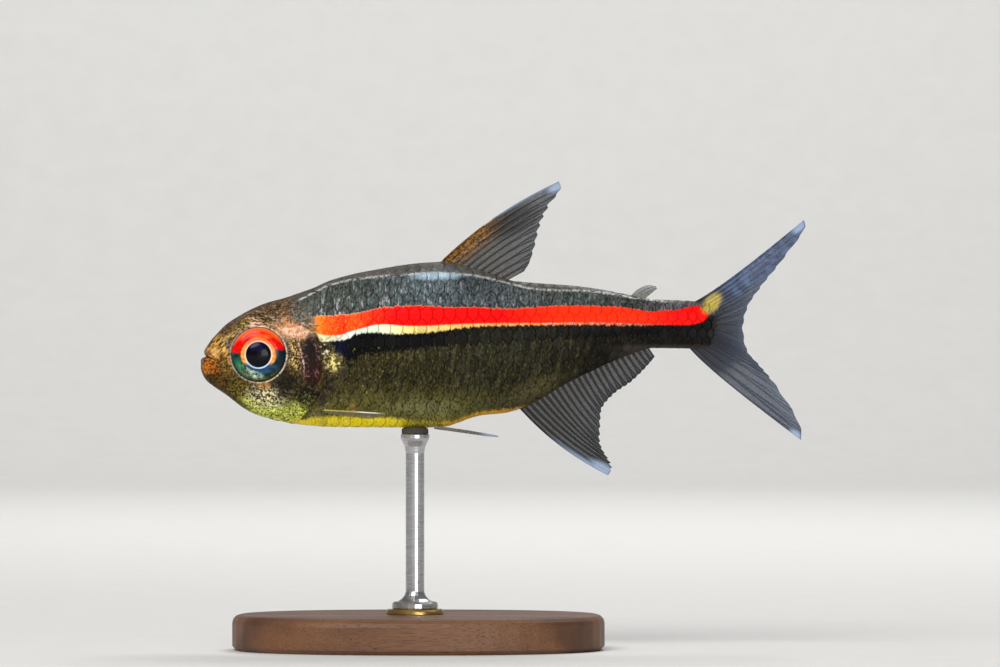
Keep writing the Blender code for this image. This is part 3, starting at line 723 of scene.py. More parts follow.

    # Patches behind the gill cover, one of them painted shade under the cover's edge, and at the root of the tail.
    g1, g2, g3 = t.noise3(p, 0.24, 4.0, 0.65)
    gx, gy = x + (g1 - 0.5) * 20.0, y + (g2 - 0.5) * 20.0
    # Painted shade: a dark brown band with specks just behind the gill cover's edge, under its overhang.
    trunk = t.mix(trunk, t.mix(rgb(26, 20, 20), rgb(70, 56, 44), t.step(0.50, 0.62, g3)),
                  t.blob(gx, gy, 325, 380, 9, 32, 4, 0.5) * t.step(340, 346, y) * 0.85)
    behind = t.blob(gx, gy, 333.5, 362, 8, 8.5, 40, 0.6)
    trunk = t.mix(trunk, t.mix(rgb(90, 78, 46), rgb(236, 218, 136), t.step(0.46, 0.57, g3)), behind * 0.95)
    sparks = t.step(0.57, 0.63, g1) * t.blob(x, y, 326, 350, 6, 10, -20, 0.5)
    trunk = t.mix(trunk, rgb(240, 226, 196), sparks * 0.9)
    trunk = t.mix(trunk, rgb(58, 52, 46), t.blob(x, y, 343, 373, 6, 4, 0, 0.5) * 0.6)
    orange = t.blob(gx, gy, 352, 408, 4.5, 6, 10, 0.7) * t.step(0.42, 0.56, g3)
    trunk = t.mix(trunk, rgb(206, 160, 76), orange * 0.6)
    flecks = t.step(0.62, 0.70, g2) * t.step(342, 350, y) * t.step(430, 380, x)
    trunk = t.mix(trunk, rgb(188, 176, 70), flecks * 0.55)
    root = t.blob(x, y, 712, 303, 12, 7.5, -48, 0.35)
    trunk = t.mix(trunk, t.mix(rgb(206, 186, 84), rgb(138, 118, 50), mid), root * 0.9)
    trunk = t.mix(trunk, rgb(16, 13, 12), t.step(327, 331, y) * t.step(640, 690, x) * 0.7)
    trunk = t.mix(trunk, rgb(36, 36, 40), t.step(709, 718, x + (streak - 0.5) * 10.0) * (1.0 - root) * 0.85)
    trunk = t.mix(trunk, rgb(74, 66, 62), t.step(343, 348, y) * t.step(600, 640, x) * 0.6)

    # Head. Its patches are drawn in gently warped coordinates, so that none has a clean oval edge, and each
    # lies as bright flakes over a dark ground.
    n1, n2, n3 = t.noise3(p, 0.13, 4.0, 0.6)
    hx, hy = x + (n1 - 0.5) * 18.0, y + (n2 - 0.5) * 18.0
    m1, m2, m3 = t.noise3(t.combine(x * 0.44 + y * 0.12, y * 0.36 - x * 0.10, w * 0.3), 1.0, 5.0, 0.72)
    flake_a, flake_b, flake_c = t.step(0.43, 0.58, m1), t.step(0.46, 0.60, m2), t.step(0.44, 0.58, m3)
    slant = t.noise(t.combine(x * 0.09 + y * 0.16, y * 0.34 - x * 0.13, w * 0.1), 1.0, 3.0, 0.6)
    snout_lines = t.noise(t.combine((x - y) * 0.10, (x + y) * 0.30, w * 0.1), 1.0, 3.0, 0.6)

    def flakes(ground, dark_, light, cover_, amount=1.0):
        return t.mix(ground, t.mix(dark_, light, cover_), amount)

    head = t.mix(rgb(34, 27, 12), rgb(104, 83, 38), flake_a * 0.8)
    crown = t.mix(rgb(48, 35, 21), rgb(166, 126, 78), flake_c)
    crown = t.mix(crown, rgb(238, 200, 172), t.step(0.54, 0.63, slant) * 0.8)
    crown = t.mix(crown, rgb(40, 28, 18), t.step(0.46, 0.38, slant) * 0.8)
    head = t.mix(head, crown, t.step(338, 326, hy))
    snout = t.blob(hx, hy, 221, 344, 12, 15, 35, 0.5)
    gold = t.mix(rgb(84, 52, 18), rgb(240, 184, 84), t.step(0.45, 0.57, snout_lines))
    head = flakes(head, rgb(86, 58, 24), gold, t.line(0.3, 0.5, m1, 0.45, 1.0), snout * 0.95)
    head = t.mix(head, t.mix(rgb(226, 182, 120), rgb(176, 122, 48), flake_a), t.blob(hx, hy, 215, 351, 6.5, 6, 40, 0.5) * 0.55)
    head = t.mix(head, t.mix(rgb(60, 54, 44), rgb(150, 142, 124), flake_b), t.blob(hx, hy, 228, 344, 4.0, 7, -20, 0.5) * 0.8)
    head = t.mix(head, rgb(250, 214, 120), flake_c * t.blob(hx, hy, 226, 335, 6, 4, -20, 0.5) * 0.85)
    head = flakes(head, rgb(46, 38, 20), rgb(190, 160, 70), flake_b, t.blob(hx, hy, 241, 325, 9, 7, -30, 0.5) * 0.8)
    jx, jy = hx + (n3 - 0.5) * 12.0, hy + (m1 - 0.5) * 9.0
    jaw = t.blob(jx, jy, 210, 367.5, 9, 9.5, 0, 0.75)
    head = flakes(head, rgb(90, 42, 12), rgb(214, 120, 24), flake_a, jaw * 0.9)
    head = t.mix(head, rgb(236, 168, 84), flake_c * t.blob(hx, hy, 208, 373, 5, 3, 0, 0.5) * 0.7)
    head = flakes(head, rgb(34, 24, 8), rgb(112, 82, 30), flake_b, t.blob(hx, hy, 216, 384, 15, 6, 42, 0.5) * 0.9)
    under = t.blob(hx, hy, 236, 388, 20, 12, 36, 0.4)
    head = flakes(head, rgb(20, 15, 4), rgb(132, 114, 36), flake_c, under * 0.9)
    head = t.mix(head, rgb(240, 186, 92), flake_b * t.step(0.40, 0.55, n3) * t.blob(hx, hy, 231, 364, 7, 20, 30, 0.5) * 0.75)
    head = flakes(head, rgb(20, 14, 5), rgb(96, 66, 22), flake_a, t.blob(hx, hy, 221, 380, 12, 13, 40, 0.5) * 0.8)
    throat = t.step(392, 403, hy) * t.step(234, 250, hx)
    throat_colour = t.mix(rgb(104, 104, 24), rgb(212, 222, 70), flake_a)
    # Painted highlights: whitish flecks over the throat.
    throat_colour = t.mix(throat_colour, rgb(240, 248, 160), flake_b * flake_c * 0.9)
    throat_colour = t.mix(throat_colour, rgb(44, 42, 12), t.step(0.45, 0.40, m3) * 0.7)
    head = t.mix(head, throat_colour, throat * 0.95)
    # Painted highlights: whitish flecks on the throat below the cheek.
    head = t.mix(head, rgb(246, 250, 176), flake_b * t.step(0.40, 0.52, n3) * t.blob(hx, hy, 274, 405, 19, 8, 2, 0.6) * 0.75)
    head = t.mix(head, t.mix(rgb(255, 236, 100), rgb(228, 186, 60), flake_b), t.blob(x, hy, 307, 421.5, 13, 4.0, -4, 0.4) * 0.95)
    pale = t.blob(hx, hy, 270, 396, 21, 9, 4, 0.5)
    head = flakes(head, rgb(50, 38, 18), rgb(252, 240, 188), flake_c, pale * 0.9)
    head = t.mix(head, rgb(218, 140, 54), flake_a * t.blob(hx, hy, 262, 384, 9, 3, 10, 0.5) * 0.7)
    head = flakes(head, rgb(16, 13, 8), rgb(88, 78, 52), flake_b, t.blob(hx, hy, 290, 388, 14, 17, 8, 0.5) * 0.9)
    dark_under = t.blob(hx, hy, 286, 378, 12, 11, -20, 0.6)
    head = t.mix(head, rgb(15, 12, 8), dark_under * 0.75)
    cheek = t.blob(hx, hy, 294.5, 355, 6.5, 16, -4, 0.5)
    head = flakes(head, rgb(30, 22, 12), rgb(226, 188, 118), flake_c, cheek * 0.95)
    head = flakes(head, rgb(52, 44, 34), rgb(120, 108, 88), flake_a, t.blob(hx, hy, 288.5, 350, 3.2, 15, 0, 0.5) * 0.8)
    pink = t.blob(hx, hy, 294, 331, 17, 7.0, 12, 0.6)
    head = flakes(head, rgb(186, 112, 60), rgb(252, 206, 172), t.step(0.42, 0.58, n3 * 0.35 + m2 * 0.65), pink * 0.9)
    head = t.mix(head, rgb(120, 84, 56), t.step(0.44, 0.36, m1) * pink * 0.8)
    head = flakes(head, rgb(76, 46, 22), rgb(228, 150, 76), flake_a, t.blob(hx, hy, 290, 318, 10, 7, 20, 0.5) * 0.8)
    nape = t.step(284, 298, hx) * t.step(328, 318, hy)
    nape_colour = t.mix(rgb(42, 42, 34), rgb(120, 118, 104), flake_b)
    # Painted glints: white flecks over the nape.
    nape_colour = t.mix(nape_colour, rgb(214, 212, 196), t.step(0.60, 0.68, m1) * 0.7)
    head = t.mix(head, nape_colour, nape * 0.92)
    rear_top = t.blob(hx, hy, 279, 309, 22, 9, -14, 0.6)
    head = flakes(head, rgb(26, 20, 13), rgb(150, 120, 84), t.step(0.50, 0.60, m2), rear_top * 0.75)
    front_top = t.blob(hx, hy, 227, 328, 13, 7, -42, 0.6)
    head = flakes(head, rgb(36, 26, 18), rgb(132, 98, 60), flake_c, front_top * 0.8)
    top_rim = t.curve(x, ((200, 362), (204, 348), (215, 337), (232, 325), (250, 314), (270, 304.5), (290, 299), (306, 294)), 290, 375)
    head = t.mix(head, t.mix(t.mix(rgb(84, 70, 62), rgb(40, 32, 28), mid), t.mix(rgb(120, 100, 80), rgb(22, 17, 14), flake_a), t.line(0.35, 0.6, n3, 0.15, 0.7)),
                 t.step(6.0, -3.5, y - top_rim + (n1 - 0.5) * 14.0 + (m2 - 0.5) * 6.0) * 0.85)
    chin = t.curve(x, ((198, 366), (204, 374), (209, 379.5), (219, 387.5), (228, 394), (240, 402), (252, 409), (262, 413)), 360, 420)
    head = t.mix(head, t.mix(rgb(30, 22, 8), rgb(84, 66, 24), flake_a), t.step(-4.0, 1.0, y - chin + (n2 - 0.5) * 6.0) * t.step(262, 240, x) * 0.85)
    plate = t.blob(x + (n1 - 0.5) * 8.0, y + (n2 - 0.5) * 10.0, 312.5, 362, 10, 26, -3, 0.14)
    plate_colour = t.mix(rgb(32, 25, 25), rgb(54, 22, 20), t.step(350, 376, hy))
    plate_colour = t.mix(plate_colour, rgb(8, 6, 6), flake_a * 0.9)
    plate_colour = t.mix(plate_colour, rgb(142, 104, 104), flake_b * t.step(0.5, 0.60, n1) * 0.6)
    head = t.mix(head, plate_colour, plate * 0.96)
    below = t.blob(hx, hy, 310, 397, 13, 13, 0, 0.4)
    head = flakes(head, rgb(8, 7, 6), rgb(92, 86, 54), t.step(0.53, 0.60, m3), below * 0.92)
    edge = t.bell(x - t.curve(y, ((336, 301.5), (345, 300.5), (356, 303.5), (366, 304.5), (382, 306)), 295, 310) + (n1 - 0.5) * 6.0, 0.8)
    head = t.mix(head, rgb(244, 196, 190), edge * t.step(334, 342, y) * t.step(378, 362, y) * t.step(0.42, 0.52, m1) * 0.9)
    glints = t.step(0.60, 0.66, m2) * t.step(0.47, 0.56, n3)
    where = t.blob(x, y, 306, 368, 8, 9, 0, 0.4).max(t.blob(x, y, 316, 384, 6, 8, 0, 0.4)).max(t.blob(x, y, 319.5, 345, 3, 9, 0, 0.4))
    head = t.mix(head, rgb(250, 222, 196), glints * where * 0.95)
    # Fine black dots over the cheek, under the eye and on the throat.
    dots = t.step(0.42, 0.29, t.cells(p, 0.40)) * t.step(0.36, 0.48, t.noise(p, 0.23, 1.0))
    zone = t.blob(x, y, 294, 366, 10, 24, 0, 0.3).max(t.blob(x, y, 272, 394, 26, 12, 0, 0.3)) \
        .max(t.blob(x, y, 282, 312, 20, 12, 0, 0.4) * 0.8).max(t.blob(x, y, 308, 398, 16, 12, 0, 0.3)) \
        .max(t.step(398, 404, y) * 0.5).max(t.blob(x, y, 232, 370, 26, 22, 40, 0.4) * 0.4)
    head = t.mix(head, rgb(14, 10, 5), dots * zone * 0.95)
    # Greyish lips, the dark lines of the mouth and of the upper jaw bone.
    lip_rim = t.curve(y, ((335, 214.5), (345, 207.5), (350, 205.8), (355, 206.4), (357, 207), (359, 203), (366, 201.8), (374, 203.4), (380, 207)), 200, 216)
    head = t.mix(head, t.mix(rgb(140, 124, 112), rgb(70, 56, 46), flake_a),
                 t.step(2.4, -2.0, x - lip_rim + (n3 - 0.5) * 9.0 + (m1 - 0.5) * 5.0) * t.step(333, 342, y) * t.step(382, 374, y) * 0.7)
    slit = t.bell(y - t.curve(x, ((198, 356.5), (205, 356.6), (207, 357.0), (212, 358.3), (218, 361.2)), 350, 365), 0.55) * t.step(218.5, 215, x)
    head = t.mix(head, rgb(44, 26, 14), slit * 0.85)
    bone = t.bell((y - 352.0) - (x - 208.5) * 0.92, 0.7) * t.step(207.5, 209, x) * t.step(219.5, 217.5, x)
    head = t.mix(head, rgb(116, 62, 20), bone * 0.85)
    # Pale, broken rim of the orbit.
    r = ((x - 259.5) * (x - 259.5) + (y - 354.5) * (y - 354.5)).power(0.5)
    head = t.mix(head, t.mix(rgb(226, 206, 178), rgb(176, 160, 168), t.step(262, 250, x)), t.bell(r - 28.1, 0.7) * t.step(0.38, 0.54, m3) * 0.9)
    head = t.mix(head, rgb(20, 18, 16), t.step(27.2, 26.7, r))

    # Where the head ends: the gill cover's edge, and above it a soft change into the scaled nape.
    cover = t.curve(y, ((262, 286), (300, 296), (318, 312), (334, 318), (342, 320.3), (355, 322.2), (370, 325.0), (380, 324.8),
                        (390, 322.0), (400, 317), (410, 309), (418, 301), (425, 293)), 280, 330)
    soft = t.line(318, 338, y, 9.0, 0.6).max(0.6)
    is_head = t.step(1.0, -1.0, (x - cover + (n1 - 0.5) * t.line(318, 338, y, 26.0, 0.0).max(0.0)) / soft)
    colour = t.mix(trunk, head, is_head)
    behind_edge = t.bell(x - cover - 0.9, 0.55) * t.step(340, 346, y) * t.step(412, 400, y)
    colour = t.mix(colour, rgb(120, 108, 92), behind_edge * t.step(0.45, 0.6, m2) * 0.35)
    # Metallic sheen where the back's glints and highlights are painted.
    shine = (glint * 0.5 + dorsal_highlight * 0.3 + back_highlight_line * 0.3) * (1.0 - above) * (1.0 - is_head)
    return colour, dict(x=x, y=y, w=w, p=p, fine=fine, mid=mid, big=big, streak=streak, is_head=is_head,
                        in_red=in_red * (1.0 - is_head), above=above, shine=shine, band=band)


def skin_material():
    t = Tree("tetra_skin")
    colour, m = markings(t)
    pores = t.noise(m["p"], 1.4, 3.0, 0.6)
    rough = t.line(0.3, 0.7, m["fine"], 0.30, 0.46)
    bump = t.bump(pores * 0.6 + m["fine"] * 0.4, 0.35, 0.00003)
    n = t.principled(base_color=colour, roughness=rough, metallic=m["shine"], normal=bump)
    n.inputs["Specular IOR Level"].default_value = 0.09
    return t.finish(n)


def scale_material():
    t = Tree("tetra_scales")
    colour, m = markings(t)
    tint, rim, root = t.attribute("tint"), t.attribute("rim"), t.attribute("along")
    # Each scale differs a little, has a darker pigmented free margin and a silvery middle.
    plain = 1.0 - m["in_red"]
    colour = t.mix(colour, t.times(colour, rgb(150, 150, 150)), t.step(0.5, 0.0, tint) * plain * 0.35)
    pale = t.mix(colour, rgb(160, 172, 170), t.step(0.2, -0.2, m["above"] - 0.5) * 0.14 * (1.0 - m["band"]) + 0.01)
    colour = t.mix(colour, pale, t.step(0.5, 1.0, tint) * t.step(0.35, 0.75, root) * plain)
    margin = t.step(0.84, 0.98, rim) * t.step(0.35, 0.6, root)
    colour = t.mix(colour, t.times(colour, rgb(170, 164, 152)), margin * (1.0 - m["in_red"]) * 0.45)
    ridges = t.attribute("ridge")
    rough = t.line(0.2, 0.8, m["fine"], 0.32, 0.50)
    bump = t.bump(ridges * 0.5 + m["fine"] * 0.5, 0.25, 0.00002)
    n = t.principled(base_color=colour, roughness=rough, metallic=m["shine"], normal=bump)
    n.inputs["Specular IOR Level"].default_value = 0.07
    return t.finish(n)


# ------------------------------------------------------------------ scales
def add_attribute(mesh, name, values):
    a = mesh.attributes.new(name, "FLOAT", "POINT")
    a.data.foreach_set("value", np.asarray(values, np.float32).ravel())


def on_skin(s, arc, side):
    """Point and normal of the bare skin at s and arc mm down from the back's middle line, on one side."""
    step = (SKIN_END - 1.0) / (RINGS - FRONT)
    i = np.where(s >= 1.0, FRONT + (s - 1.0) / step, np.sqrt(np.maximum(s - 0.03, 0) / 0.97) * FRONT)
    i = np.clip(i, 0, RINGS - 1.001)
    i0 = i.astype(int)
    fi = i - i0
    girth = GIRTH[i0] * (1 - fi) + GIRTH[i0 + 1] * fi
    a = arc / girth
    flip = np.where(a < 0, -1.0, 1.0) * np.where(a > 1, -1.0, 1.0)
    a = np.abs(a)
    a = np.where(a > 1, 2 - a, a)
    k = np.clip(a * (TURN // 2), 0, TURN // 2 - 0.001)
    k0 = k.astype(int)
    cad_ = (k - k0)[..., None]
    fi = fi[..., None]

    def look(grid):
        return ((grid[i0, k0] * (1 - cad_) + grid[i0, k0 + 1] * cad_) * (1 - fi)
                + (grid[i0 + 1, k0] * (1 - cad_) + grid[i0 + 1, k0 + 1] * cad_) * fi)

    p, n = look(LAT), look(NORMAL)
    n = n / np.linalg.norm(n, axis=-1, keepdims=True)
    turn = (flip * side)[..., None] if np.ndim(flip) else flip * side
    mirror = np.concatenate([np.ones_like(turn), turn, np.ones_like(turn)], -1)
    return p * mirror, n * mirror, girth, a


def arc_at(s, up):
    """Arc from the back's middle line down to the height up, at s."""
    i = int(np.argmin(np.abs(LAT_S - s)))
    ring = LAT[i, :TURN // 2 + 1, 2]
    k = np.interp(-up, -ring, np.arange(TURN // 2 + 1))
    return k / (TURN // 2) * GIRTH[i]


def make_scales(side, name):
    """Overlapping plates in oblique rows; each is a thin closed body, thin and raised at its free rear edge."""
    around_, rings = 22, 5
    s_list = np.linspace(5.0, 30.2, 200)
    mid_level = np.interp(s_list, [5.0, 8.0, 14.0, 22.0, 28.0, 30.2], [0.2, 0.1, 0.25, 0.85, 1.2, 1.2])
    mid_arc = np.array([arc_at(s, u) for s, u in zip(s_list, mid_level)])
    row_step = np.interp(s_list, [5, 9, 16, 22, 27, 30.2], [0.80, 0.82, 0.78, 0.66, 0.53, 0.50])
    points, faces, tint, rim, root, ridge, uv = [], [], [], [], [], [], []
    phi = 2 * math.pi * np.arange(around_) / around_
    rho = (np.arange(1, rings + 1) / rings) ** 0.8
    local_random = np.random.default_rng(11 if side < 0 else 12)
    s0 = 5.0
    columns = []
    while s0 < 29.9:
        pitch = float(np.interp(s0, [5, 12, 20, 30], [0.66, 0.70, 0.66, 0.56]))
        columns.append((s0, pitch))
        s0 += pitch / 2
    for c, (s_c, pitch) in enumerate(columns):
        s_c += 0.11 * (side > 0)
        mid = float(np.interp(s_c, s_list, mid_arc))
        step = float(np.interp(s_c, s_list, row_step))
        girth = float(np.interp(s_c, LAT_S, GIRTH))
        for row in range(-9, 10):
            if (row + c) % 2:
                continue
            arc_c = mid + row * step
            if arc_c < -0.10 * step or arc_c > girth + 0.10 * step:
                continue
            probe = on_skin(np.array([s_c]), np.array([arc_c]), side)[0][0]
            start = gill_edge(probe[2]) if probe[2] < 0.35 else np.interp(probe[2], [0.35, 0.9, 2.0, 3.1], [7.0, 6.7, 5.9, 5.2])
            root_gap = -0.42 if probe[2] < 0.35 else 0.0
            length, half = pitch * 1.86, step * 0.80
            if s_c < start + root_gap - (0.30 if probe[2] >= 0.35 else 0.0):
                continue
            last = 30.42 - 0.62 * ((float(probe[2]) - 1.2) / 1.5) ** 2
            if s_c + length > last:
                length = last - s_c
                if length < 0.40:
                    continue
            jitter = local_random.uniform(-1, 1, 6)
            from_edge = min(arc_c, girth - arc_c)
            calm = 0.35 + 0.65 * float(ease(0.1, 1.5, from_edge))
            lift = (0.036 + 0.005 * jitter[0]) * calm
            a_local = 0.5 + 0.5 * rho[:, None] * np.cos(phi)[None, :]
            b_local = rho[:, None] * np.sin(phi)[None, :] * (1 + 0.10 * np.cos(phi)[None, :])
            a_local = np.concatenate([[[0.5]], a_local.reshape(1, -1)], 1)[0]
            b_local = np.concatenate([[[0.0]], b_local.reshape(1, -1)], 1)[0]
            s = s_c + a_local * length * (1 + 0.02 * jitter[1])
            mids = np.interp(s, s_list, mid_arc) + row * np.interp(s, s_list, row_step)
            arc = mids + b_local * half * (1 + 0.03 * jitter[2])
            base, normal, _, a_share = on_skin(s, arc, side)
            height = -0.030 + (lift + 0.030) * a_local**1.3 - 0.008 * b_local**2 + 0.004 * jitter[3] * b_local
            if probe[2] < 0.8:
                height = height - 0.16 * ease(0.45, 0.02, s - gill_edge(base[:, 2]))
            top = base + normal * height[:, None]
            under = base + normal * (height - 0.012)[:, None]
            n0 = len(points)
            count = 1 + rings * around_
            low_ring = under[1 + (rings - 1) * around_:]
            middle = under[:1] - normal[:1] * 0.004
            points.extend(top.tolist())
            points.extend(low_ring.tolist())
            points.extend(middle.tolist())
            for k in range(around_):
                k2 = (k + 1) % around_
                faces.append((n0, n0 + 1 + k, n0 + 1 + k2))
                for r in range(rings - 1):
                    a, b = n0 + 1 + r * around_ + k, n0 + 1 + r * around_ + k2
                    faces.append((a, a + around_, b + around_, b))
                a, b = n0 + 1 + (rings - 1) * around_ + k, n0 + 1 + (rings - 1) * around_ + k2
                faces.append((a, n0 + count + k, n0 + count + k2, b))
                faces.append((n0 + count + k, n0 + count + around_, n0 + count + k2))
            ring_rho = np.concatenate([[0.0], np.repeat(rho, around_)])
            all_a = np.concatenate([a_local, a_local[-around_:], [0.5]])
            all_rho = np.concatenate([ring_rho, np.ones(around_), [0.0]])
            tint.extend([float(0.5 + 0.5 * jitter[4])] * len(all_a))
            rim.extend(all_rho.tolist())
            root.extend(all_a.tolist())
            spokes = np.concatenate([[0.5], np.tile(0.5 + 0.5 * np.cos(phi * 11), rings)]) * ring_rho
            ridge.extend(np.concatenate([spokes, spokes[-around_:], [0.5]]).tolist())
            u = 0.01 + 0.98 * s / SKIN_END
            v = np.where(np.full(len(s), side) > 0, a_share * 0.5, 1 - a_share * 0.5)
            v = 0.01 + 0.98 * v
            uv.extend(np.stack([np.concatenate([u, u[-around_:], u[:1]]),
                                np.concatenate([v, v[-around_:], v[:1]])], 1).tolist())
    if side < 0:
        faces = [f[::-1] for f in faces]
    obj = new_mesh(name, placed(np.array(points)), faces)
    mesh = obj.data
    for key, values in (("tint", tint), ("rim", rim), ("along", root), ("ridge", ridge)):
        add_attribute(mesh, key, values)
    loops = np.zeros(len(mesh.loops), int)
    mesh.loops.foreach_get("vertex_index", loops)
    layer = mesh.uv_layers.new(name="OFBake")
    layer.data.foreach_set("uv", np.array(uv, np.float32)[loops].ravel())
    return obj


# ------------------------------------------------------------------ eyes
def make_eye(side, name):
    """The ball with the iris, the ring round the pupil and the bulging lens in relief."""
    rows, cols = 64, 144
    r = EYE_RADIUS * np.concatenate([np.linspace(0, 0.40, 12)[1:], np.linspace(0.41, 0.55, 14), np.linspace(0.57, 0.93, 22),
                                     np.linspace(0.94, 0.999, 8)])
    a = 2 * math.pi * np.arange(cols) / cols
    rr, aa = np.meshgrid(r, a, indexing="ij")
    unit = rr / UNIT
    dome = 0.46 * np.sqrt(np.maximum(0, 1 - (rr / EYE_RADIUS) ** 2.3))
    depth = EYE_PLANE + 0.02 + dome
    depth -= 0.075 * ease(15.5, 12.6, unit)                      # step down into the pupil
    depth += 0.130 * np.sqrt(np.maximum(0, 1 - (unit / 12.4) ** 2)) * (unit < 12.4)   # lens
    depth += 0.018 * bell(unit - 13.9, 0.9) - 0.012 * bell(unit - 17.5, 1.2)
    depth += 0.0015 * np.sin(aa * 34 + 1.5 * np.sin(aa * 5)) * ease(16, 19, unit) * ease(26.5, 23, unit)
    points = [(EYE_S, side * (EYE_PLANE + 0.02 + 0.46 - 0.075 + 0.13), EYE_UP)]
    ring = np.stack([EYE_S + rr * np.cos(aa), side * depth, EYE_UP + rr * np.sin(aa)], -1)
    points += ring.reshape(-1, 3).tolist()
    back_r = EYE_RADIUS * np.array([0.99, 0.90, 0.72, 0.45])
    for q in back_r:
        y = side * (EYE_PLANE - 0.86 * math.sqrt(1 - (q / EYE_RADIUS) ** 2))
        points += np.stack([EYE_S + q * np.cos(a), np.full(cols, y), EYE_UP + q * np.sin(a)], 1).tolist()
    points.append((EYE_S, side * (EYE_PLANE - 0.86), EYE_UP))
    total = len(r) + len(back_r)
    faces = []
    for k in range(cols):
        k2 = (k + 1) % cols
        faces.append((0, 1 + k, 1 + k2))
        for i in range(total - 1):
            p, q = 1 + i * cols + k, 1 + i * cols + k2
            faces.append((p, p + cols, q + cols, q))
        p, q = 1 + (total - 1) * cols + k, 1 + (total - 1) * cols + k2
        faces.append((p, len(points) - 1, q))
    if side > 0:
        faces = [f[::-1] for f in faces]
    return new_mesh(name, placed(np.array(points)), faces)


def eye_material():
    t = Tree("tetra_eye")
    x, y, w, p = t.drawing()
    dx, dy = x - 259.5, y - 354.5
    r = (dx * dx + dy * dy).power(0.5)
    fine = t.noise(p, 0.55, 2.0)
    mid = t.noise(p, 0.20, 2.0)
    angle = t.math("ARCTAN2", dy, dx)
    spokes = t.noise(t.combine(angle * 5.0, r * 0.12, w * 0.0), 1.0, 2.0)
    # Lower half: teal to blue-grey with pale patches of painted reflection at its lower left; upper half: red, orange
    # at its top edge.
    low = t.ramp(x, [(234, rgb(14, 62, 54)), (246, rgb(28, 66, 44)), (262, rgb(22, 46, 44)), (275, rgb(14, 34, 42)),
                     (286, rgb(8, 34, 44))])
    # Painted reflection: a whitish-green patch and a glint at the iris's lower left.
    low = t.mix(low, rgb(218, 238, 208), t.step(0.40, 0.54, mid * 0.5 + fine * 0.5) * t.blob(x, y, 253, 373.0, 10, 4.0, 22, 0.6) * 0.9)
    low = t.mix(low, rgb(150, 196, 130), t.step(0.44, 0.58, fine) * t.blob(x, y, 243.5, 368.5, 6, 3.0, 50, 0.6) * 0.8)
    low = t.mix(low, rgb(40, 84, 116), t.blob(x, y, 267, 369.5, 12, 3.6, -14, 0.5) * 0.7)
    low = t.mix(low, rgb(36, 116, 80), t.blob(x, y, 241, 366, 4, 7, -30, 0.5) * 0.7)
    low = t.mix(low, rgb(84, 100, 30), t.bell(r - 25.0, 1.4) * t.step(366, 376, y) * 0.7)
    low = t.mix(low, rgb(6, 10, 14), t.step(0.52, 0.36, spokes) * 0.6)
    top = t.mix(rgb(214, 2, 2), rgb(226, 22, 4), t.step(0.42, 0.66, mid))
    top = t.mix(top, rgb(238, 92, 20), t.step(21.5, 24.5, r) * t.step(344, 336, y) * 0.85)
    top = t.mix(top, rgb(240, 116, 40), t.blob(x, y, 262, 337, 10, 2.6, 0, 0.5) * 0.6)
    top = t.mix(top, rgb(150, 4, 6), t.step(0.46, 0.30, spokes) * 0.4)
    split = t.step(353.0, 349.0, y + (fine - 0.5) * 5.0 + (mid - 0.5) * 5.0 + dx * 0.07)
    iris = t.mix(low, top, split)
    ring = t.mix(rgb(232, 176, 70), rgb(232, 120, 48), t.step(0.4, 0.6, mid))
    ring = t.mix(ring, rgb(30, 66, 104), t.step(361, 366, y))
    ring = t.mix(ring, rgb(236, 116, 60), t.step(347, 342, y))
    width = t.step(17.4, 16.0, r + (fine - 0.5) * 1.6 - t.bell(dy - 2.0, 6.0) * 1.0)
    iris = t.mix(iris, ring, width * 0.96)
    # Pale ring round the pupil; its bluish-white lower part is a painted highlight.
    iris = t.mix(iris, t.mix(rgb(236, 226, 214), rgb(196, 220, 240), t.step(358, 366, y)), t.bell(r - 13.4, 0.62) * 0.9)
    limbus = t.step(24.6, 26.8, r)
    iris = t.mix(iris, rgb(176, 148, 120), limbus * t.step(348, 342, y) * 0.5)
    iris = t.mix(iris, rgb(28, 30, 26), limbus * t.step(356, 366, y) * 0.6)
    pupil = t.mix(rgb(4, 4, 10), rgb(14, 12, 58), t.blob(x, y, 258, 346.5, 7, 3.2, 0, 0.6) * 0.9)
    colour = t.mix(iris, pupil, t.step(12.9, 12.3, r))
    n = t.principled(base_color=colour, roughness=t.line(0.3, 0.7, fine, 0.16, 0.28),
                     normal=t.bump(spokes, 0.25, 0.00003))
    n.inputs["Specular IOR Level"].default_value = 0.08
    n.inputs["Coat Weight"].default_value = 0.14
    n.inputs["Coat Roughness"].default_value = 0.03
    return t.finish(n)


# ------------------------------------------------------------------ fins
DORSAL_BASE = (14.00, 18.00)
DORSAL_EDGE = ((0.00, 21.18, 9.66), (0.10, 21.32, 9.30), (0.28, 20.60, 8.20),
               (0.50, 20.08, 7.05), (0.70, 19.79, 5.90), (0.87, 19.49, 4.95), (1.00, 19.14, 4.35))
ANAL_BASE = (18.75, 26.40)
ANAL_EDGE = ((0.00, 24.10, -7.70), (0.08, 24.33, -7.25), (0.30, 23.62, -5.60), (0.45, 23.68, -4.00),
             (0.60, 24.39, -2.95), (0.75, 25.45, -2.19), (0.90, 26.40, -1.25), (1.00, 26.85, -0.68))
TAIL_EDGE = ((0.00, 35.66, 7.38), (0.05, LENGTH, 7.05), (0.17, 34.35, 4.95), (0.30, 33.15, 3.45),
             (0.42, 32.30, 2.10), (0.50, 32.08, 1.00), (0.58, 32.30, -0.25), (0.70, 33.05, -1.20),
             (0.83, 33.90, -2.20), (0.95, 35.52, -5.05), (1.00, 35.50, -5.62))


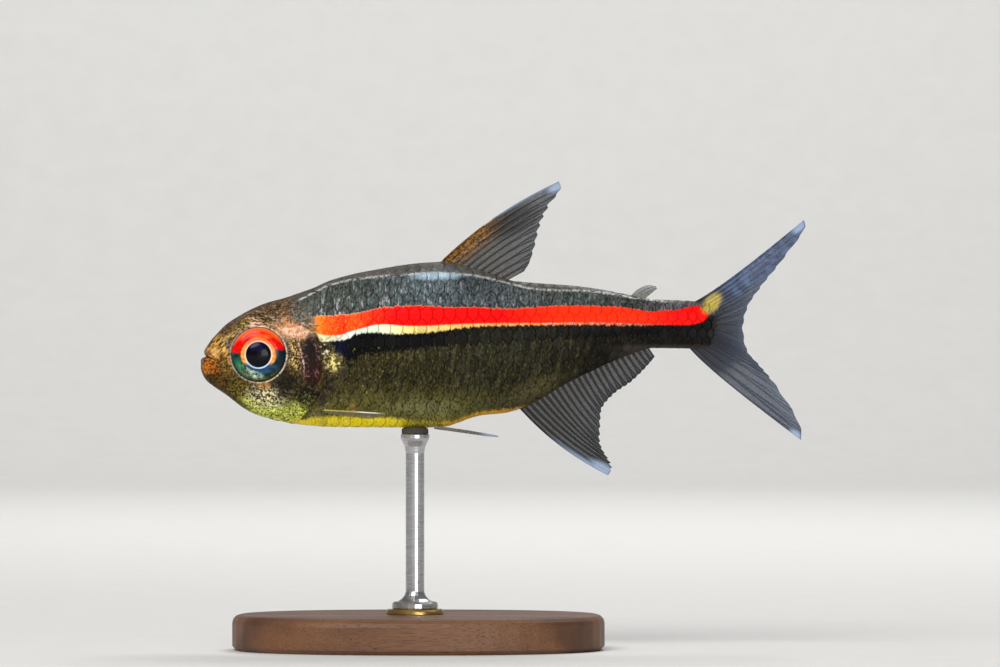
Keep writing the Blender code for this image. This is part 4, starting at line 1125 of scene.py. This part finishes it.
def fin_sheet(name, centre, rays, fine_u, fine_v, thick, split, lead=1.6, notch=0.03, swell=1.0):
    """A thin closed membrane with raised, forking rays.

    centre(u, v) gives the middle surface (arrays of s, y, up); rays sit at u = i / (rays - 1);
    thick is (membrane, ray at its root, ray at its tip); split the shares of length where rays fork.
    """
    cells = (rays - 1) * fine_u
    u = np.linspace(0, 1, cells + 1)
    v = np.linspace(0, 1, fine_v + 1)
    uu, vv = np.meshgrid(u, v, indexing="ij")
    phase = uu * (rays - 1)
    index = np.round(phase)
    f = phase - index
    # Scalloped rear edge: the membrane ends a little short of the ray tips.
    reach = 1 - notch * (0.5 - 0.5 * np.cos(2 * math.pi * phase)) * vv**3 * ease(0.5, 2.5, np.minimum(phase, rays - 1 - phase))
    p = centre(uu, vv * reach)
    across = np.linalg.norm(np.gradient(p, axis=0), axis=2) * cells / (rays - 1)      # mm from ray to ray
    first = 0.23 * ease(split[0], 1.0, vv)
    second = 0.11 * ease(split[1], 1.0, vv)
    plain = (index < 2)                              # front rays don't fork
    d = np.where(plain, np.abs(f), np.abs(np.abs(np.abs(f) - first) - second)) * across
    root, tip = thick[1], thick[2]
    amount = root + (tip - root) * vv**0.8
    amount = amount * np.where(index == 0, lead, np.where(index == 1, 1.25, 1.0))
    width = (0.10 - 0.065 * vv) * np.where(index == 0, lead * 0.9, 1.0) * swell
    ray = np.exp(-((d / width) ** 2))
    run = vv * np.linalg.norm(p[:, -1] - p[:, 0], axis=1)[:, None]
    joint = 0.94 + 0.06 * np.cos(2 * math.pi * (run / 0.24 + index * 0.37))
    ray_h = ray * amount * np.where(vv > 0.18, joint, 1.0)
    t = thick[0] + ray_h
    du, dv = np.gradient(p, axis=0), np.gradient(p, axis=1)
    n = np.cross(du, dv)
    n /= np.maximum(np.linalg.norm(n, axis=2, keepdims=True), 1e-12)
    taper = 1 - 0.55 * ease(0.9, 1.0, vv)
    t = t * taper
    a, b = p + n * t[..., None] / 2, p - n * t[..., None] / 2
    rows, cols = uu.shape
    points = np.concatenate([a.reshape(-1, 3), b.reshape(-1, 3)])
    half = rows * cols
    grid = np.arange(half).reshape(rows, cols)
    q = np.stack([grid[:-1, :-1], grid[1:, :-1], grid[1:, 1:], grid[:-1, 1:]], -1).reshape(-1, 4)
    faces = q.tolist() + (q[:, ::-1] + half).tolist()
    rim_ = list(grid[0, :]) + list(grid[1:, -1]) + list(grid[-1, -2::-1]) + list(grid[-2:0:-1, 0])
    for c, e in zip(rim_, rim_[1:] + rim_[:1]):
        faces.append((int(c), int(e), int(e) + half, int(c) + half))
    obj = new_mesh(name, placed(points), faces)
    both = lambda z: np.concatenate([z.ravel(), z.ravel()])
    add_attribute(obj.data, "ray", both(ray))
    add_attribute(obj.data, "from_root", both(vv))
    add_attribute(obj.data, "across", both(uu))
    add_attribute(obj.data, "run", both(run / 0.24 + index * 0.37))
    uv = both(uu), both(vv)
    loops = np.zeros(len(obj.data.loops), int)
    obj.data.loops.foreach_get("vertex_index", loops)
    layer = obj.data.uv_layers.new(name="UVMap")
    flat = np.stack([0.02 + 0.46 * uv[0] + 0.5 * (np.arange(len(uv[0])) >= half), 0.02 + 0.96 * uv[1]], 1)
    layer.data.foreach_set("uv", flat[loops].astype(np.float32).ravel())
    return obj


def median_centre(base_at, edge, bow, wave):
    us = [row[0] for row in edge]

    def centre(u, v):
        ps, pu = base_at(u)
        qs, qu = smooth(us, [r[1] for r in edge], u), smooth(us, [r[2] for r in edge], u)
        ds, du = qs - ps, qu - pu
        k = 4 * v * (1 - v) * bow(u)
        return np.stack([ps + ds * v - du * k, wave(u, v), pu + du * v + ds * k], -1)
    return centre


def dorsal_base(u):
    s = DORSAL_BASE[0] + (DORSAL_BASE[1] - DORSAL_BASE[0]) * u
    return s, station(1, s) - 0.25


def anal_base(u):
    s = ANAL_BASE[0] + (ANAL_BASE[1] - ANAL_BASE[0]) * u
    return s, station(2, s) + 0.25


def tail_centre(wave):
    """Rays that start inside the flesh, run back to its end and spread from there."""
    us = [row[0] for row in TAIL_EDGE]

    def centre(u, v):
        w = np.abs(2 * u - 1) ** 6
        bs, bu = 30.42 - 0.26 * u - 0.30 * w, 2.76 - 3.22 * u
        is_, iu = 28.7 + 0.6 * (1 - w), 2.35 - 2.25 * u
        qs, qu = smooth(us, [r[1] for r in TAIL_EDGE], u), smooth(us, [r[2] for r in TAIL_EDGE], u)
        s = (1 - v) ** 2 * is_ + 2 * v * (1 - v) * bs + v * v * qs
        up = (1 - v) ** 2 * iu + 2 * v * (1 - v) * bu + v * v * qu
        k = 4 * v * (1 - v) * -0.050 * np.maximum(0.0, 2 * u - 1) ** 4
        return np.stack([s - (qu - bu) * k, wave(u, v), up + (qs - bs) * k], -1)
    return centre


def fin_material(name, base_colours, ray_colour, alpha, ray_alpha, extra=None, root_end=0.12):
    """A clear, smoky membrane; colour along the ray's length from the stops in base_colours."""
    t = Tree(name)
    x, y, w, p = t.drawing()
    ray, v, u, run = t.attribute("ray"), t.attribute("from_root"), t.attribute("across"), t.attribute("run")
    fine, mid = t.noise(p, 0.5, 2.0), t.noise(p, 0.12, 2.0)
    colour = t.ramp(v, base_colours)
    colour = t.mix(colour, t.times(colour, rgb(120, 120, 120)), t.step(0.5, 0.75, mid) * 0.5)
    joints = t.step(0.55, 0.95, (run * (2 * math.pi)).sin()) * t.step(0.2, 0.4, v) * 0.6
    rays = t.mix(ray_colour, t.times(ray_colour, rgb(140, 140, 140)), joints)
    colour = t.mix(colour, rays, t.step(0.15, 0.75, ray) * 0.9)
    specks = t.step(0.30, 0.18, t.cells(p, 0.55)) * t.step(0.45, 0.6, fine)
    colour = t.mix(colour, rgb(14, 13, 12), specks * 0.6)
    a = t.line(0.0, 1.0, t.step(0.1, 0.8, ray), alpha, ray_alpha)
    a = a + specks * 0.2
    if extra:
        colour, a = extra(t, colour, a, x, y, v, u, ray, fine, mid)
    a = a.max(t.step(root_end, 0.0, v)).min(1.0)
    n = t.principled(base_color=colour, roughness=t.line(0.3, 0.7, fine, 0.25, 0.40), alpha=a,
                     normal=t.bump(fine, 0.2, 0.00002))
    n.inputs["Specular IOR Level"].default_value = 0.2
    return t.finish(n)


def tip_glow(tips, lead=None):
    """Pale blue-white fin tips, and a pale front edge from u 0 to the width lead."""
    def extra(t, colour, a, x, y, v, u, ray, fine, mid):
        glow = None
        for cx, cy, rx, ry, turn in tips:
            one = t.blob(x, y, cx, cy, rx, ry, turn, 0.6)
            glow = one if glow is None else glow.max(one)
        if lead:
            front = t.step(lead[0], lead[0] * 0.25, u) * t.step(lead[1], lead[2], v)
            glow = glow.max(front * 0.8)
        colour = t.mix(colour, rgb(160, 178, 206), glow * 0.75)
        return colour, a + glow * 0.35
    return extra


def dorsal_extra(t, colour, a, x, y, v, u, ray, fine, mid):
    amber = t.step(0.42, 0.10, u) * t.step(0.66, 0.34, v)
    colour = t.mix(colour, t.mix(rgb(150, 100, 24), rgb(58, 38, 10), t.step(0.42, 0.56, fine)), amber * 0.9)
    blot = t.blob(x, y, 512, 222, 26, 12, -28, 0.5)
    colour = t.mix(colour, rgb(18, 14, 10), blot * 0.7)
    colour = t.mix(colour, rgb(196, 186, 166), t.step(0.030, 0.008, u) * t.step(0.5, 0.6, mid) * t.step(0.60, 0.45, v) * 0.7)
    colour, a = tip_glow([(556, 187, 9, 4.5, -24)], (0.045, 0.42, 0.60))(t, colour, a, x, y, v, u, ray, fine, mid)
    return colour, a + amber * 0.25 + blot * 0.2


def anal_extra(t, colour, a, x, y, v, u, ray, fine, mid):
    return tip_glow([(602, 468, 14, 5, 28)], (0.05, 0.3, 0.8))(t, colour, a, x, y, v, u, ray, fine, mid)


def tail_extra(t, colour, a, x, y, v, u, ray, fine, mid):
    upper = t.step(0.34, 0.16, u)
    colour = t.mix(colour, t.mix(rgb(50, 66, 96), rgb(84, 106, 146), t.step(0.35, 0.7, mid)), upper * t.step(0.2, 0.6, v) * 0.85)
    colour, a = tip_glow([(799, 227, 8, 4.5, -42), (796, 435, 7, 4, 45)])(t, colour, a, x, y, v, u, ray, fine, mid)
    red_top, red_low = t.curve(x, RED_TOP, 300, 340), t.curve(x, RED_LOW, 300, 340)
    red = t.step(-0.8, 0.8, y - red_top) * t.step(0.8, -0.8, y - red_low) * t.step(709, 706, x)
    root = t.blob(x, y, 712, 303, 12, 7.5, -48, 0.35)
    colour = t.mix(colour, t.mix(rgb(206, 186, 84), rgb(138, 118, 50), mid), root * 0.9)
    colour = t.mix(colour, rgb(240, 8, 4), red)
    fx, fy = x - 702.0, (y - 322.0) * 0.85
    flesh = t.step(58, 14, (fx * fx + fy * fy).power(0.5) + (mid - 0.5) * 16.0)
    colour = t.mix(colour, rgb(34, 34, 38), flesh * (1.0 - root) * (1.0 - red) * 0.8)
    return colour, a + root * 0.4 + red + upper * 0.10 + flesh


def pectoral_extra(t, colour, a, x, y, v, u, ray, fine, mid):
    front = t.step(0.10, 0.02, u)
    colour = t.mix(colour, rgb(196, 176, 70), front * 0.7)
    glint = t.step(0.14, 0.02, u) * t.step(0.50, 0.74, v) * t.step(0.99, 0.84, v)
    colour = t.mix(colour, rgb(226, 232, 232), glint * 0.85)
    return colour, a + front * 0.3 + glint * 0.5


def paired_centre(side, root, base, lead, trail, longest, shortest, droop):
    lead, trail = np.array(lead), np.array(trail)

    def centre(u, v):
        d = lead * (1 - u[..., None]) + trail * u[..., None]
        d = d / np.linalg.norm(d, axis=-1, keepdims=True)
        length = longest + (shortest - longest) * u**1.3 - 0.25 * np.exp(-u * 14)
        p = np.array(root) + np.array(base) * u[..., None] + d * (length * v)[..., None]
        p[..., 1] += droop * np.sin(u * math.pi) * v**1.5
        p[..., 2] -= 0.10 * v**2 * u
        p[..., 1] *= side
        return p
    return centre


# ------------------------------------------------------------------ stand
def wood_material():
    t = Tree("stand_walnut")
    co = t.node("ShaderNodeTexCoord").outputs["Object"]
    n = t.node("ShaderNodeSeparateXYZ")
    t.tree.links.new(co, n.inputs[0])
    x, y, z = (Val(t, n.outputs[i]) * 1000.0 for i in range(3))
    v = t.combine(x * 0.10, y, z)
    warp = t.noise(v, 0.45, 3.0)
    rings = (y * 1.4 + z * 0.5 + warp * 7.0).sin() * 0.5 + 0.5
    grain = t.noise(t.combine(x * 0.5, y * 14.0, z * 14.0), 1.0, 5.0, 0.65)
    pores = t.step(0.56, 0.66, t.noise(t.combine(x * 1.0, y * 22.0, z * 22.0), 1.0, 2.0))
    colour = t.ramp(rings * 0.35 + grain * 0.65, [(0.1, rgb(64, 40, 26)), (0.45, rgb(92, 60, 38)), (0.8, rgb(122, 82, 52))])
    colour = t.mix(colour, rgb(40, 25, 16), pores * 0.65)
    s = t.principled(base_color=colour, roughness=t.line(0.2, 0.8, grain, 0.36, 0.55),
                     normal=t.bump(grain * 0.5 - pores * 0.5, 0.35, 0.00006))
    s.inputs["Specular IOR Level"].default_value = 0.4
    return t.finish(s)


def steel_material(name, base):
    t = Tree(name)
    co = t.node("ShaderNodeTexCoord").outputs["Object"]
    n = t.node("ShaderNodeSeparateXYZ")
    t.tree.links.new(co, n.inputs[0])
    x, y, z = (Val(t, n.outputs[i]) * 1000.0 for i in range(3))
    brush = t.noise(t.combine(x * 1.5, y * 1.5, z * 60.0), 1.0, 3.0, 0.6)
    cloud = t.noise(t.combine(x, y, z), 1.2, 2.0)
    colour = t.mix(base, t.times(base, rgb(190, 190, 192)), t.step(0.35, 0.7, brush))
    s = t.principled(base_color=colour, roughness=t.line(0.2, 0.8, brush * 0.6 + cloud * 0.4, 0.20, 0.40),
                     normal=t.bump(brush, 0.2, 0.00002))
    s.inputs["Metallic"].default_value = 1.0
    return t.finish(s)


def turned_piece(name, s0, profile, count=64):
    """A turned closed piece about the upright line at s0; profile is (radius, height above the floor)."""
    x0 = s0 - LENGTH / 2
    points = [(x0, 0.0, profile[0][1])]
    for r, z in profile:
        points += [(x0 + r * math.cos(2 * math.pi * k / count), r * math.sin(2 * math.pi * k / count), z) for k in range(count)]
    points.append((x0, 0.0, profile[-1][1]))
    faces = []
    for k in range(count):
        k2 = (k + 1) % count
        faces.append((0, 1 + k2, 1 + k))
        for i in range(len(profile) - 1):
            a, b = 1 + i * count + k, 1 + i * count + k2
            faces.append((a, b, b + count, a + count))
        a, b = 1 + (len(profile) - 1) * count + k, 1 + (len(profile) - 1) * count + k2
        faces.append((a, b, len(points) - 1))
    obj = new_mesh(name, points, faces)
    obj.data.set_sharp_from_angle(angle=math.radians(40))
    return obj


# ------------------------------------------------------------------ make everything
def give(obj, material, slot, *nodes):
    obj.data.materials.clear()
    obj.data.materials.append(material)
    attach(obj, "root")
    if nodes:
        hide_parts(*nodes)
    return obj


skin = give(make_skin(), skin_material(), "skin_flank", "head", "lower_jaw", "gill_cover_left", "gill_cover_right",
            "trunk", "caudal_peduncle")
coat = scale_material()
give(make_scales(-1, "scales_left"), coat, "skin_flank")
give(make_scales(1, "scales_right"), coat, "skin_flank")

eye = eye_material()
give(make_eye(-1, "eyeball_left"), eye, "eye", "eye_left")
give(make_eye(1, "eyeball_right"), eye, "eye", "eye_right")

clear = fin_material("fin_clear", [(0.0, rgb(120, 110, 70)), (0.5, rgb(116, 114, 92)), (1.0, rgb(150, 156, 150))],
                     rgb(150, 142, 104), 0.14, 0.50, pectoral_extra)
pelvic_mat = fin_material("fin_pelvic", [(0.0, rgb(96, 88, 60)), (0.5, rgb(70, 72, 70)), (1.0, rgb(120, 130, 144))],
                          rgb(110, 108, 100), 0.40, 0.75, tip_glow([(493, 433, 10, 4, 0)]))
dorsal_mat = fin_material("fin_dorsal", [(0.0, rgb(44, 40, 30)), (0.5, rgb(36, 38, 38)), (1.0, rgb(58, 66, 76))],
                          rgb(48, 46, 42), 0.62, 0.92, dorsal_extra)
anal_mat = fin_material("fin_anal", [(0.0, rgb(40, 34, 26)), (0.4, rgb(24, 24, 24)), (1.0, rgb(44, 50, 58))],
                        rgb(34, 32, 32), 0.66, 0.94, anal_extra)
tail_mat = fin_material("fin_tail", [(0.0, rgb(44, 40, 36)), (0.4, rgb(40, 44, 52)), (1.0, rgb(70, 82, 104))],
                        rgb(60, 66, 78), 0.62, 0.92, tail_extra, root_end=0.30)

wave_d = lambda u, v: 0.10 * v**1.4 * np.sin(2 * math.pi * (0.9 * u + 0.15)) * (0.3 + 0.7 * u)
wave_a = lambda u, v: 0.10 * v**1.4 * np.sin(2 * math.pi * (1.2 * u + 0.4)) * (0.3 + 0.7 * u)
wave_t = lambda u, v: 0.16 * v**1.6 * np.sin(2 * math.pi * (1.1 * u + 0.05))
give(fin_sheet("dorsal_fin_web", median_centre(dorsal_base, DORSAL_EDGE, lambda u: 0.034 * (1 - u) + 0.012, wave_d),
               11, 18, 90, (0.045, 0.17, 0.05), (0.42, 0.72)), dorsal_mat, "fin", "dorsal_fin")
give(fin_sheet("anal_fin_web", median_centre(anal_base, ANAL_EDGE, lambda u: -0.05 * (1 - u), wave_a),
               25, 14, 64, (0.045, 0.13, 0.045), (0.45, 0.75)), anal_mat, "fin", "anal_fin")
give(fin_sheet("caudal_fin_web", tail_centre(wave_t), 20, 16, 110, (0.050, 0.15, 0.05), (0.45, 0.70), notch=0.02),
     tail_mat, "fin", "caudal_fin")


def adipose_centre(u, v):
    s = 25.45 + 0.80 * u
    up = station(1, s) - 0.12
    us = (0.0, 0.25, 0.5, 1.0)
    qs, qu = smooth(us, (26.55, 26.92, 26.98, 26.86), u), smooth(us, (3.55, 3.46, 3.33, 3.22), u)
    k = 4 * v * (1 - v) * 0.10 * (1 - u)
    return np.stack([s + (qs - s) * v - (qu - up) * k, 0.0 * u, up + (qu - up) * v + (qs - s) * k], -1)


give(fin_sheet("adipose_fin_web", adipose_centre, 5, 10, 30, (0.09, 0.03, 0.0), (0.5, 0.8), lead=1.2, notch=0.0),
     pelvic_mat, "fin", "adipose_fin")


def half_width(s, up):
    top, low, half = station(1, s), station(2, s), station(3, s)
    level = low + (top - low) * station(4, s)
    q, n = ((up - level) / (top - level), station(5, s)) if up >= level else ((level - up) / (level - low), station(6, s))
    return float(half * max(0.0, 1 - min(abs(q), 1.0) ** n) ** (1 / n))


for side, label in ((-1, "left"), (1, "right")):
    y = half_width(7.25, -3.72)
    give(fin_sheet("pectoral_web_" + label,
                   paired_centre(side, (6.95, y - 0.10, -3.80), (0.06, -0.12, -0.16), (0.955, 0.290, -0.050),
                                 (0.975, 0.120, -0.095), 4.35, 3.0, 0.05),
                   12, 12, 56, (0.026, 0.08, 0.02), (0.45, 0.75), lead=1.4), clear, "fin", "pectoral_fin_" + label)
    give(fin_sheet("pelvic_web_" + label,
                   paired_centre(side, (13.85, 0.70, -4.86), (0.42, -0.30, -0.04), (0.965, 0.230, -0.145),
                                 (0.985, 0.030, -0.100), 3.95, 2.7, 0.05),
                   8, 14, 56, (0.032, 0.11, 0.03), (0.45, 0.75), lead=1.5), pelvic_mat, "fin", "pelvic_fin_" + label)

wood = wood_material()
base = frame["nodes"]["stand_base"] if isinstance(frame["nodes"], dict) else bpy.data.objects["stand_base"]
rod = frame["nodes"]["stand_rod"] if isinstance(frame["nodes"], dict) else bpy.data.objects["stand_rod"]
steel = steel_material("stand_steel", rgb(206, 206, 208))
for node, material in ((base, wood), (rod, steel)):
    for slot_ in node.material_slots:
        slot_.material = material
brass = steel_material("stand_brass", rgb(206, 172, 104))
give(turned_piece("rod_washer", 12.70, [(1.62, 2.08), (1.70, 2.14), (1.70, 2.30), (1.60, 2.41)]), brass, "rod_steel")
belly = AXIS + float(station(2, 12.70))
pad = Tree("stand_pad")
px, py, pw, pp = pad.drawing()
felt = pad.noise(pp, 1.2, 4.0, 0.7)
pad_shader = pad.principled(base_color=pad.mix(rgb(34, 32, 30), rgb(66, 62, 58), felt), roughness=pad.line(0.2, 0.8, felt, 0.75, 0.95),
                            normal=pad.bump(felt, 0.5, 0.00005))
give(turned_piece("rod_pad", 12.70, [(0.70, belly - 0.31), (0.80, belly - 0.27), (0.78, belly - 0.02), (0.60, belly + 0.10)]),
     pad.finish(pad_shader), "rod_steel")


# ------------------------------------------------------------------ stage, light and camera
def sweep():
    """Round floor that turns up into a low pale rim all the way round, well behind every viewpoint."""
    profile = [(0.0, 0.0), (60.0, 0.0), (160.0, 0.0), (300.0, 0.0), (430.0, 0.0)]
    for k in range(1, 17):
        a = math.pi / 2 * k / 16
        profile.append((430.0 + 150.0 * math.sin(a), 150.0 * (1 - math.cos(a))))
    count = 96
    points = [(r * math.cos(2 * math.pi * k / count), r * math.sin(2 * math.pi * k / count), z)
              for r, z in profile[1:] for k in range(count)]
    points.append((0.0, 0.0, 0.0))
    faces = []
    for k in range(count):
        k2 = (k + 1) % count
        faces.append((len(points) - 1, k, k2))
        for i in range(len(profile) - 2):
            faces.append((i * count + k, (i + 1) * count + k, (i + 1) * count + k2, i * count + k2))
    obj = new_mesh("floor_sweep", points, faces)
    t = Tree("floor_paper")
    co = Val(t, t.node("ShaderNodeTexCoord").outputs["Object"])
    soft = t.noise(co, 300.0, 3.0)
    s = t.principled(base_color=t.mix(rgb(214, 213, 210), rgb(222, 221, 218), soft), roughness=t.line(0.3, 0.7, soft, 0.75, 0.9))
    obj.data.materials.append(t.finish(s))


sweep()


def area(name, at, target, size, power, colour=(1, 1, 1)):
    light = bpy.data.lights.new(name, "AREA")
    light.shape, light.size, light.energy, light.color = "DISK", size * MM, power, colour
    obj = bpy.data.objects.new(name, light)
    bpy.context.scene.collection.objects.link(obj)
    from mathutils import Vector
    obj.location = Vector(at) * MM
    obj.rotation_mode = "QUATERNION"
    obj.rotation_quaternion = (Vector(at) - Vector(target)).to_track_quat("Z", "Y")
    return obj


area("key", (-120, -260, 260), (0, 0, 18), 240, 1.15, (1.0, 0.985, 0.96))
area("fill", (90, -300, 30), (0, 0, 14), 160, 0.42, (0.97, 0.98, 1.0))
area("rim", (60, 160, 260), (0, 0, 18), 160, 0.45)
area("wash", (0, 270, 300), (0, 580, 50), 200, 0.85)

world = bpy.data.worlds.new("studio")
bpy.context.scene.world = world
world.use_nodes = True
world.node_tree.nodes["Background"].inputs[0].default_value = (0.93, 0.95, 1.0, 1.0)
world.node_tree.nodes["Background"].inputs[1].default_value = 0.20
bpy.context.scene.view_settings.view_transform = "Standard"

camera_data = bpy.data.cameras.new("camera")
camera_data.lens, camera_data.sensor_width = 36.0 * 400.0 / (1000 * UNIT), 36.0
camera_data.clip_start, camera_data.clip_end = 0.05, 5.0
camera = bpy.data.objects.new("camera", camera_data)
bpy.context.scene.collection.objects.link(camera)
camera.location = ((S(500) - LENGTH / 2) * MM, -400.0 * MM, (AXIS + U(333.5)) * MM)
camera.rotation_euler = (math.pi / 2, 0.0, 0.0)
bpy.context.scene.camera = camera

bpy.context.view_layer.update()
